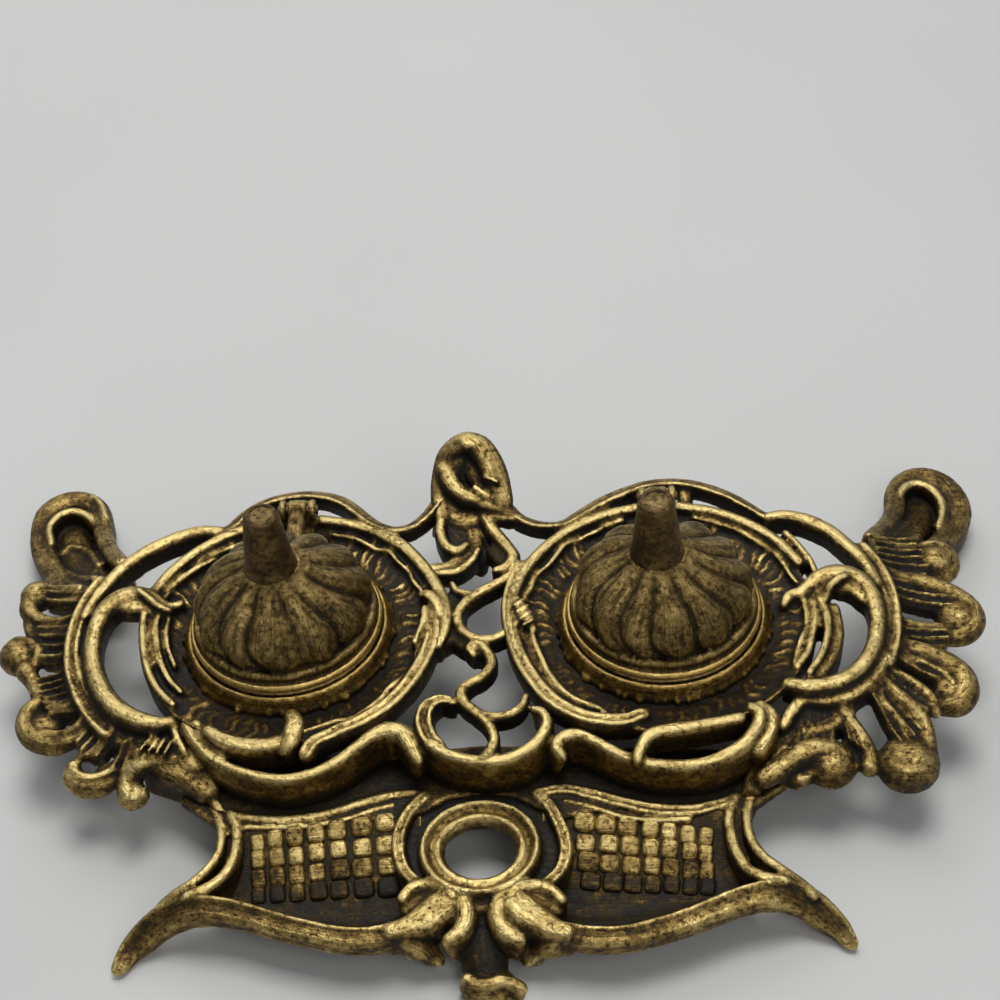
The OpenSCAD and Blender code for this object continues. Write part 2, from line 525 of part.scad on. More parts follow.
// Turned collar with the tongue and the two ears of the hinge
module collar(side) {
    color(brass) at_side(side) {
        difference() {
            union() {
                rotate_extrude()
                    polygon([[collar_bore_r, floor_z - spigot_h], [spigot_r, floor_z - spigot_h],
                             [spigot_r, floor_z + rest_gap], [collar_r + 1, floor_z + rest_gap],
                             [collar_r + 0.6, floor_z + 1.2], [collar_r - 0.4, floor_z + 2],
                             [collar_r - 0.6, seat_z], [collar_seat_r, seat_z],
                             [collar_seat_r, seat_z - flange_t - rest_gap],
                             [collar_bore_r, seat_z - flange_t - rest_gap]]);
                translate([-hinge_w / 2, collar_r - 1.4, tongue_top - tongue_t])
                    cube([hinge_w, hinge_reach + stop_front + stop_t - collar_r + 1.4, tongue_t]);
                for (ear = [-1, 1])
                    translate([ear * (ear_gap + ear_w) / 2, hinge_reach, hinge_z]) {
                        rotate([0, 90, 0]) cylinder(h = ear_w, d = knuckle_d, center = true);
                        translate([-ear_w / 2, -knuckle_d / 2, tongue_top - hinge_z - 0.2])
                            cube([ear_w, knuckle_d, hinge_z - tongue_top + 0.2]);
                        translate([-ear_w / 2, 0, tongue_top - hinge_z - 0.2])
                            cube([ear_w, stop_front + stop_t, hinge_z - tongue_top + 0.2 + stop_rise]);
                    }
                translate([-ear_gap / 2 - 0.2, hinge_reach + stop_front, tongue_top - 0.2])
                    cube([ear_gap + 0.4, stop_t, hinge_z - tongue_top + 0.2 + stop_rise]);
            }
            // relief for the lid's rim in the root of the tongue
            translate([0, 0, seat_z]) cylinder(h = knuckle_d, r = lid_d / 2 + rim_room);
            translate([0, hinge_reach, hinge_z]) rotate([0, 90, 0])
                cylinder(h = hinge_w + 2, d = pin_d + 2 * bore_fit, center = true);
        }
    }
}

// Pressed glass liner that drops into the collar
module ink_pot(side) {
    top = seat_z - rest_gap;
    color(glass) at_side(side)
        rotate_extrude()
            polygon([[0, top - pot_h], [pot_d / 2 - 3, top - pot_h], [pot_d / 2 - 0.8, top - pot_h + 1.4],
                     [pot_d / 2, top - pot_h + 3.4], [pot_d / 2, top - flange_t],
                     [flange_r, top - flange_t], [flange_r, top - 0.6], [flange_r - 0.6, top],
                     [pot_d / 2 - pot_wall + 0.6, top], [pot_d / 2 - pot_wall, top - 0.8],
                     [pot_d / 2 - pot_wall, top - pot_h + pot_wall + 3],
                     [pot_d / 2 - pot_wall - 3, top - pot_h + pot_wall + 0.4], [0, top - pot_h + pot_wall]]);
}

// ---------------------------------------------------------------- lids

rim_h = 2.6;
pad_r = finial_foot_d / 2 + finial_left;
lobe_samples = 4;

// Lid profile: height above the rim, share of the way in to the finial's pad, share of the lobe's depth
lid_profile = [[1.8, 0.07, 0], [rim_h + 1.2, 0.05, 0.35], [0.36, 0.04, 0.9], [0.52, 0.1, 1],
               [0.67, 0.22, 1], [0.79, 0.38, 0.95], [0.89, 0.58, 0.8], [0.96, 0.8, 0.45], [1, 1, 0]];

function lid_height(p) = p[0] <= 1 ? p[0] * lid_h : p[0];
function lid_radius(p) = (1 - p[1]) * (lid_d / 2 - 0.2) + p[1] * pad_r;

// Shape of one lobe around the lid: full at its middle, sharp in the groove
function lobe_wave(a) = 1 - abs(sin(a / 2)) * abs(sin(a / 2));

// Outer body of the lid with its swirling lobes
module lid_body() {
    around = lobes * lobe_samples;
    levels = len(lid_profile);
    skin = [for (p = lid_profile, k = [0 : around - 1])
        let (a = 360 * k / around,
             turn = lobe_swirl * lid_height(p) / lid_h,
             r = lid_radius(p) - lobe_depth * p[2] * (1 - lobe_wave((a - turn) * lobes)))
        [r * cos(a), r * sin(a), lid_height(p)]];
    sides = [for (i = [0 : levels - 2], k = [0 : around - 1])
        let (a = i * around + k, b = i * around + (k + 1) % around)
        each [[a, b + around, b], [a, a + around, b + around]]];
    polyhedron(skin, concat([[for (k = [0 : around - 1]) k]], sides,
               [[for (k = [around - 1 : -1 : 0]) (levels - 1) * around + k]]), convexity = 4);
}

// Hollow inside of the lid
module lid_hollow() {
    inner_r = lid_d / 2 - lid_wall - lobe_depth;
    rotate_extrude()
        polygon([[0, -1], [inner_r, -1], [inner_r, 0.4 * lid_h], [inner_r - 1.4, 0.52 * lid_h],
                 [inner_r - 4, 0.64 * lid_h], [0.46 * inner_r, 0.76 * lid_h],
                 [0.3 * inner_r, lid_h - 1.8 * lid_wall], [0, lid_h - 1.8 * lid_wall]]);
}

// Hinged lid: lobed dome, moulded rim, and the arm that carries the hinge knuckle
module lid(side) {
    root = 2.6;                         // the arm grows out of the wall over this length
    color(dull_brass) at_side(side) translate([0, 0, seat_z + rest_gap])
        difference() {
            union() {
                lid_body();
                rotate_extrude()
                    polygon([[lid_d / 2 - 3, 0], [lid_d / 2 - 0.5, 0], [lid_d / 2, 0.6],
                             [lid_d / 2, rim_h - 0.8], [lid_d / 2 - 0.6, rim_h], [lid_d / 2 - 3, rim_h]]);
                translate([-knuckle_w / 2, lid_d / 2 - root, hinge_rise - rest_gap - arm_below])
                    cube([knuckle_w, hinge_reach - lid_d / 2 + root, arm_below + arm_rise]);
                translate([0, hinge_reach, hinge_rise - rest_gap]) rotate([0, 90, 0])
                    cylinder(h = knuckle_w, d = knuckle_d, center = true);
            }
            lid_hollow();
            translate([-finial_left, 0, 0]) cylinder(h = 3 * lid_h, d = rod_d + 2 * bore_fit, center = true);
            translate([0, hinge_reach, hinge_rise - rest_gap]) rotate([0, 90, 0])
                cylinder(h = knuckle_w + 2, d = pin_d + 2 * bore_fit, center = true);
        }
}

lid_top = seat_z + rest_gap + lid_h;
head_d = 0.64 * finial_tip_d;
head_t = 1.1;

// Tapered grip on top of the lid, flat at its tip
module finial(side) {
    foot_r = finial_foot_d / 2;
    tip_r = finial_tip_d / 2;
    color(dull_brass) at_side(side) translate([-finial_left, 0, lid_top])
        difference() {
            rotate_extrude()
                polygon([[0, 0], [foot_r, 0], [foot_r - 0.1, 0.7], [foot_r - 0.5, 1.8],
                         [foot_r - 0.75, 0.25 * finial_h], [tip_r + 0.7, 0.6 * finial_h],
                         [tip_r + 0.1, finial_h - 1.4], [tip_r - 0.2, finial_h - 0.4],
                         [tip_r - 0.7, finial_h], [0, finial_h]]);
            cylinder(h = 3 * finial_h, d = rod_d + 2 * bore_fit, center = true);
            translate([0, 0, finial_h - head_t])
                cylinder(h = head_t + 1, d = head_d + 2 * bore_fit);
        }
}

nut_af = 6;
nut_t = 2.2;
rod_proud = 0.8;
nut_z = lid_top - 1.8 * lid_wall - nut_t;

// Rod through the finial and the lid, with the round head that shows at the tip
module finial_rod(side) {
    bottom = nut_z - rod_proud;
    tip = lid_top + finial_h;
    color(dull_brass) at_side(side) translate([-finial_left, 0, 0]) {
        translate([0, 0, bottom]) cylinder(h = tip - bottom - 0.2, d = rod_d);
        translate([0, 0, tip - head_t + rest_gap / 2]) cylinder(h = head_t - 0.25, d = head_d);
    }
}

// Nut inside the lid
module finial_nut(side) {
    color(brass) at_side(side) translate([-finial_left, 0, nut_z - rest_gap / 2])
        difference() {
            cylinder(h = nut_t, d = nut_af / cos(30), $fn = 6);
            translate([0, 0, -1]) cylinder(h = nut_t + 2, d = rod_d + 2 * bore_fit);
        }
}

// Hinge pin through the ears and the knuckle
module hinge_pin(side) {
    proud = 0.3;
    color(dull_brass) at_side(side) translate([0, hinge_reach, hinge_z]) rotate([0, 90, 0])
        cylinder(h = hinge_w + 2 * proud, d = pin_d, center = true);
}

gallery();
pen_tray();
collar(-1);  // left_collar
collar(1);  // right_collar
ink_pot(-1);  // left_ink_pot
ink_pot(1);  // right_ink_pot
lid(-1);  // left_lid
lid(1);  // right_lid
finial(-1);  // left_finial
finial(1);  // right_finial
finial_rod(-1);  // left_finial_rod
finial_rod(1);  // right_finial_rod
finial_nut(-1);  // left_finial_nut
finial_nut(1);  // right_finial_nut
hinge_pin(-1);  // left_hinge_pin
hinge_pin(1);  // right_hinge_pin
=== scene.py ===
import math
import bmesh
import bpy
import numpy as np
from mathutils import Matrix, Vector
from mathutils.bvhtree import BVHTree


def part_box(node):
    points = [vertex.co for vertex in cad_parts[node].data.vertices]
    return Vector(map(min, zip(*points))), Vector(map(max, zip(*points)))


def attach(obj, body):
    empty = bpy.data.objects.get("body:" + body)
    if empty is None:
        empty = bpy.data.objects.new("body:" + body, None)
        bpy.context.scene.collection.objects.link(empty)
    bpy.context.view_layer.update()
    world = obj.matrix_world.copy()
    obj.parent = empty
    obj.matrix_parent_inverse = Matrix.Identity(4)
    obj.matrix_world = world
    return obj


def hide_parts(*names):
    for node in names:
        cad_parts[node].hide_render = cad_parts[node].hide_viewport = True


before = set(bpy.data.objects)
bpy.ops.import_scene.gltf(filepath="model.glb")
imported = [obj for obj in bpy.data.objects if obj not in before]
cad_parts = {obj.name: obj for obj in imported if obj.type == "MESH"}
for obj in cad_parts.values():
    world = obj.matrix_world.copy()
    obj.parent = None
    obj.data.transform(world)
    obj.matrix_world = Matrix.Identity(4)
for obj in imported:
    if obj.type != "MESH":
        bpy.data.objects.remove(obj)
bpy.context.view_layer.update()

# ---------------------------------------------------------------- the view
# The stand is looked at from the front and above, as it lies on a table. Most of the casting is drawn
# on this view: a point is given by its place on a sheet of 1000 by 1000 and its height in millimetres.
SHEET = 1000.0
FOCAL = 2000.0
eye = np.array([30.5, -300.1, 353.5])
turn, tilt, cant = math.radians(-4.4), math.radians(43.1), math.radians(5.2)
ahead = np.array([math.sin(turn) * math.cos(tilt), math.cos(turn) * math.cos(tilt), -math.sin(tilt)])
level = np.array([math.cos(turn), -math.sin(turn), 0.0])
above = np.cross(level, ahead)
rightward = level * math.cos(cant) - above * math.sin(cant)
upward = level * math.sin(cant) + above * math.cos(cant)

camera = bpy.data.objects.new("camera", bpy.data.cameras.new("camera"))
camera.data.sensor_width = 36.0
camera.data.lens = camera.data.sensor_width * FOCAL / SHEET
camera.data.clip_start = 0.01
camera.matrix_world = Matrix([[*v] for v in np.array([rightward, upward, -ahead]).T]).to_4x4()
camera.location = Vector(eye / 1000)
bpy.context.collection.objects.link(camera)
bpy.context.scene.camera = camera


def drawn(u, v, z):
    """The point at height z, in millimetres, that is seen at (u, v)."""
    ray = (u - SHEET / 2) / FOCAL * rightward + (SHEET / 2 - v) / FOCAL * upward + ahead
    return eye + ray * (z - eye[2]) / ray[2]


# ---------------------------------------------------------------- the gallery
# One casting in brass: two dishes with their rails, C scrolls, shell work, arches, a crest leaf and
# low front walls. It was cast in sand, chased, darkened all over and polished on its high places.

# middle of the left and of the right well, then radius and height of the rail around each
WELLS = {-1: (-44.0, 10.1), 1: (41.0, 10.1)}
RAIL_R = 34.5
CREST = 27.0
# the finest detail that the skin keeps
GRAIN = 0.45

# Sections of a scroll: across, and drop below the crest, both as a share of its width
SECTIONS = {
    "bead": [(-0.5, 0.5), (-0.46, 0.3), (-0.36, 0.14), (-0.2, 0.04), (0, 0), (0.2, 0.04), (0.36, 0.14),
             (0.46, 0.3), (0.5, 0.5)],
    "soft": [(-0.5, 0.34), (-0.45, 0.17), (-0.32, 0.06), (-0.15, 0.01), (0.15, 0.01), (0.32, 0.06),
             (0.45, 0.17), (0.5, 0.34)],
    "twin": [(-0.5, 0.45), (-0.46, 0.2), (-0.36, 0.04), (-0.27, 0), (-0.17, 0.04), (-0.06, 0.17),
             (0.06, 0.17), (0.17, 0.04), (0.27, 0), (0.36, 0.04), (0.46, 0.2), (0.5, 0.45)],
    "lip": [(-0.5, 0.4), (-0.45, 0.14), (-0.35, 0.01), (-0.24, 0.03), (-0.1, 0.2), (0.1, 0.28), (0.3, 0.33),
            (0.44, 0.42), (0.5, 0.6)],
    "rlip": [(-0.5, 0.6), (-0.44, 0.42), (-0.3, 0.33), (-0.1, 0.28), (0.1, 0.2), (0.24, 0.03), (0.35, 0.01),
             (0.45, 0.14), (0.5, 0.4)],
}


def smooth_path(points, steps):
    """Catmull-Rom curve through rows of numbers."""
    p = np.array(points, float)
    p = np.vstack([2 * p[0] - p[1], p, 2 * p[-1] - p[-2]])
    rows = []
    for i in range(1, len(p) - 2):
        for j in range(steps):
            t = j / steps
            a, b, c, d = p[i - 1], p[i], p[i + 1], p[i + 2]
            rows.append(0.5 * (2 * b + (c - a) * t + (2 * a - 5 * b + 4 * c - d) * t * t
                               + (3 * b - a - 3 * c + d) * t ** 3))
    rows.append(p[-2])
    return np.array(rows)


def sweep(rows, kind, depth, steps=5):
    """A scroll along rows of x, y, crest height and width. Its ends are rounded. The kind "round" is a bar
    with its height along its middle."""
    thinnest, underside, least_drop, sides = 0.5, 0.42, 0.62, 14
    q = smooth_path(rows, steps)
    place, width = q[:, :3], np.maximum(q[:, 3], thinnest)
    tangent = np.gradient(place, axis=0)
    tangent /= np.linalg.norm(tangent, axis=1)[:, None]
    for end, way in ((0, -1), (-1, 1)):
        cap_at, cap_w = [], []
        for out, narrow in ((0.28, 0.83), (0.43, 0.5), (0.5, 0.15)):
            cap_at.append(place[end] + way * tangent[end] * width[end] * out)
            cap_w.append(width[end] * narrow)
        sink = [np.array([0, 0, 0 if kind == "round" else -width[end] * s]) for s in (0.04, 0.14, 0.26)]
        cap_at = [a + s for a, s in zip(cap_at, sink)]
        cap_t = [tangent[end]] * 3
        if way < 0:
            place = np.vstack([cap_at[::-1], place])
            width = np.concatenate([cap_w[::-1], width])
            tangent = np.vstack([cap_t, tangent])
        else:
            place = np.vstack([place, cap_at])
            width = np.concatenate([width, cap_w])
            tangent = np.vstack([tangent, cap_t])
    side = np.cross(tangent, [0, 0, 1.0])
    side /= np.maximum(np.linalg.norm(side, axis=1), 1e-6)[:, None]
    rise = np.cross(side, tangent)
    shape = SECTIONS.get(kind, [])
    ring = []
    for i in range(len(place)):
        row = [place[i] + a * width[i] * side[i] - h * width[i] * rise[i] for a, h in shape]
        drop = max(depth, least_drop * width[i])
        row.append(place[i] + underside * width[i] * side[i] - drop * rise[i])
        row.append(place[i] - underside * width[i] * side[i] - drop * rise[i])
        ring.append(row)
    if kind == "round":
        turns = [2 * math.pi * k / sides for k in range(sides)]
        ring = [[place[i] + width[i] / 2 * (math.cos(g) * side[i] + math.sin(g) * rise[i]) for g in turns]
                for i in range(len(place))]
    m = len(ring[0])
    # rows of m points each become the skin, closed by its two end rows
    verts = [v for row in ring for v in row]
    faces = []
    for i in range(len(ring) - 1):
        for j in range(m):
            a, b = i * m + j, i * m + (j + 1) % m
            faces.append((a, b, b + m, a + m))
    faces.append(tuple(range(m))[::-1])
    faces.append(tuple((len(ring) - 1) * m + j for j in range(m)))
    # where each point lies along the scroll and across it, for the polishing marks
    run = np.concatenate([[0.0], np.cumsum(np.linalg.norm(np.diff(place, axis=0), axis=1))])
    across = [a for a, h in shape] + [0.9, -0.9]
    if kind == "round":
        across = [-0.7 * math.cos(g) for g in turns]
    notes = [(run[i] + 31 * place[0][0], width[i] * a, 0.0) for i in range(len(ring)) for a in across]
    return verts, faces, notes


def stroke(kind, depth, points, steps=5):
    """A scroll drawn on the view: rows of u, v, crest height and width."""
    return sweep([[*drawn(u, v, z), w] for u, v, z, w in points], kind, depth, steps)


def roll(*points):
    """A round bar drawn on the view along its middle: u, v, height and thickness."""
    return stroke("round", 0, points)


def ball(at, radius, flat=1.0):
    """A rounded knob at a point, in millimetres."""
    verts, faces = [], []
    n, m = 8, 14
    for i in range(n + 1):
        up = math.pi * i / n
        for j in range(m):
            about = 2 * math.pi * j / m
            out = [math.sin(up) * math.cos(about), math.sin(up) * math.sin(about), flat * math.cos(up)]
            verts.append(np.array(at) + radius * np.array(out))
    for i in range(n):
        for j in range(m):
            a, b = i * m + j, i * m + (j + 1) % m
            faces.append((a, a + m, b + m, b))
    return verts, faces


def knob(u, v, z, radius, flat=1.0):
    """A knob drawn on the view by its highest point."""
    return ball(drawn(u, v, z - radius * flat), radius, flat)


def ring_skin(across, around):
    """Faces of a ring-shaped plate with a top and an under layer of points."""
    low = (across + 1) * around
    faces = []
    for j in range(across):
        for k in range(around):
            a, b = j * around + k, j * around + (k + 1) % around
            faces.append((a, a + around, b + around, b))
            faces.append((low + a, low + b, low + b + around, low + a + around))
    for j in (0, across):
        for k in range(around):
            a, b = j * around + k, j * around + (k + 1) % around
            faces.append((a, b, low + b, low + a) if j == 0 else (a, low + a, low + b, b))
    return faces


def by_well(side, r, a, z):
    """A point by its distance and angle from the middle of a well, and its height."""
    x, y = WELLS[side]
    return np.array([x + r * math.cos(a), y + r * math.sin(a), z])


def dish(side):
    """Shallow dish between the collar and the rail, wrinkled by fine uneven ribs that run outwards."""
    rng = np.random.default_rng(5 + side)
    around, across, ribs = 900, 36, 84
    edges = np.cumsum(rng.uniform(0.45, 1.6, ribs))
    edges *= 2 * math.pi / edges[-1]
    starts, ends = rng.uniform(24.2, 25.6, ribs), rng.uniform(29.6, 34.4, ribs)
    strength, lean = rng.uniform(0.3, 1.0, ribs), rng.uniform(-0.5, 0.5, ribs)
    inside, slope_from, outside = 20.0, 24.0, RAIL_R - 0.6
    lowest, climb, thick, rib_height = 22.05, 3.4, 2.4, 1.3
    verts, notes = [], []
    for layer in range(2):
        for j in range(across + 1):
            r = inside + (outside - inside) * j / across
            s = max(0.0, (r - slope_from) / (RAIL_R - slope_from))
            base = lowest + climb * s ** 1.5
            for k in range(around):
                a = 2 * math.pi * k / around
                z, glint = base, 0.0
                if layer == 0:
                    turned_to = (a + 0.02 * math.sin(1.1 * r + 5 * a)) % (2 * math.pi)
                    n = int(np.searchsorted(edges, turned_to)) % ribs
                    start = edges[n - 1] if n else 0.0
                    f = (turned_to - start) / (edges[n] - start) + lean[n] * (r - 29) / 7
                    ridge = max(0.0, 1 - abs(f - 0.5) * 2.3) ** 0.8
                    here = min(1.0, max(0.0, (r - starts[n]) / 1.4))
                    here *= min(1.0, max(0.0, (ends[n] - r) / 1.6))
                    # the ribs stand higher at the back of the dish
                    zone = 0.6 + 0.4 * min(1.0, max(0.0, 0.75 + 1.2 * math.sin(a)))
                    rib = strength[n] * ridge * here * zone
                    z += rib_height * rib
                    # the rib crests are lighter: polish on them and painted glints that come and go along
                    # each rib
                    glint = rib * (0.8 + 0.3 * math.sin(1.9 * r + 5 * n))
                else:
                    z -= thick
                verts.append(by_well(side, r, a, z))
                notes.append((r, abs(a - math.pi) * 29, -glint))
    return verts, ring_skin(across, around), notes


def ragged_foot(side):
    """The foot that shows below a lid's rim, smooth above and torn along its outer edge."""
    rng = np.random.default_rng(40 + side)
    around, across, teeth, thick = 720, 20, 90, 1.6
    reach = rng.uniform(0.0, 1.0, teeth) ** 1.8
    stops = [0, 0.12, 0.26, 0.4, 0.55, 0.7, 1]
    radii = [21.5, 21.9, 22.3, 22.8, 23.2, 23.5, 23.8]
    heights = [25.6, 26.4, 26.5, 26.0, 25.0, 24.0, 23.2]
    verts, notes = [], []
    for layer in range(2):
        for j in range(across + 1):
            t = j / across
            fringe = max(0.0, (t - 0.62) / 0.38)
            for k in range(around):
                a = 2 * math.pi * k / around
                bend = a * teeth / (2 * math.pi) + 0.6 * math.sin(4 * a) + 0.5 * math.sin(9 * a)
                n = int(math.floor(bend)) % teeth
                tooth = reach[n] * math.sin(math.pi * (bend - math.floor(bend))) ** 0.7
                wave = 0.35 + 0.3 * math.sin(5 * a + side) + 0.2 * math.sin(13 * a)
                r = np.interp(t, stops, radii) + fringe * (0.4 * wave + tooth)
                z = np.interp(t, stops, heights) - layer * thick
                verts.append(by_well(side, r, a, z))
                notes.append((abs(a - math.pi) * 22 * (1 - fringe), t * 5, 0.3 * fringe))
    return verts, ring_skin(across, around), notes


def flutes(inner, outer, ribs, lift=1.6, thick=3.0):
    """A ribbed web between two drawn edges. Its ribs run from the inner edge to the outer one, and it
    sags a little between them."""
    around, across, sag = ribs * 9, 12, 0.9
    edges = []
    for edge, higher in ((inner, 1.0), (outer, 1.6)):
        line = smooth_path([drawn(u, v, z + higher) for u, v, z in edge], 6)
        at = np.linspace(0, len(line) - 1, around + 1)
        edges.append(np.array([np.interp(at, range(len(line)), line[:, k]) for k in range(3)]).T)
    verts, notes = [], []
    for layer in range(2):
        for i in range(around + 1):
            for j in range(across + 1):
                t = j / across
                rib = (0.5 - 0.5 * math.cos(2 * math.pi * ribs * i / around + 0.8 * math.sin(3 * t))) ** 1.4
                p = edges[0][i] * (1 - t) + edges[1][i] * t
                p = p + np.array([0, 0, lift * (rib - 0.5) - sag * math.sin(math.pi * t) - layer * thick])
                verts.append(p)
                # the rib crests are lighter: polish on them and painted glints
                notes.append((8 * t, 2.4 * ribs * i / around, -0.5 * rib ** 2))
    wide = across + 1
    low = (around + 1) * wide
    faces = []
    for i in range(around):
        for j in range(across):
            a = i * wide + j
            faces.append((a, a + wide, a + wide + 1, a + 1))
            faces.append((low + a, low + a + 1, low + a + wide + 1, low + a + wide))
        for j in (0, across):
            a = i * wide + j
            faces.append((a, a + wide, low + a + wide, low + a))
    for j in range(across):
        for i in (0, around):
            a = i * wide + j
            faces.append((a, a + 1, low + a + 1, low + a))
    return verts, faces, notes


def wavy_lip(side, radius, start, stop, seed):
    """Thin wavy edge inside a rail, between two angles in degrees, 0 to the right and 90 to the back."""
    rng = np.random.default_rng(seed)
    count = int(abs(stop - start) / 7)
    rows = []
    for i in range(count + 1):
        a = math.radians(start + (stop - start) * i / count)
        r = radius + rng.uniform(-0.7, 0.5)
        rows.append([*by_well(side, r, a, 25.6 + rng.uniform(-0.3, 0.3)), 1.3])
    return sweep(rows, "bead", 2.5, 4)


def rail_arc(side, start, stop, width=3.2):
    """Part of the rail as a true arc, between two angles in degrees."""
    count = max(3, int(abs(stop - start) / 10))
    rows = []
    for i in range(count + 1):
        a = math.radians(start + (stop - start) * i / count)
        rows.append([*by_well(side, RAIL_R, a, CREST), width])
    return sweep(rows, "bead", 6, 3)


def wear_and_shade(top, wall, parts):
    """How dark a group of parts is on its top faces and on its walls, 0 polished and 1 black: the metal's
    own polish and tarnish, with painted light on the tops and painted shade on the walls. A part is points,
    faces and, for each point,
    notes: its place along and across the marks, and its own tone."""
    group = []
    for verts, faces, *notes in parts:
        note = notes[0] if notes else [(v[0], v[1] + v[2], 0.0) for v in verts]
        group.append((verts, faces, note, top, wall))
    return group


def marks(z, width, *lines):
    """Short raised chasing marks, each from u, v to u, v."""
    return [stroke("bead", 1.5, [(a, b, z, width), (c, d, z, width * 0.8)]) for a, b, c, d in lines]


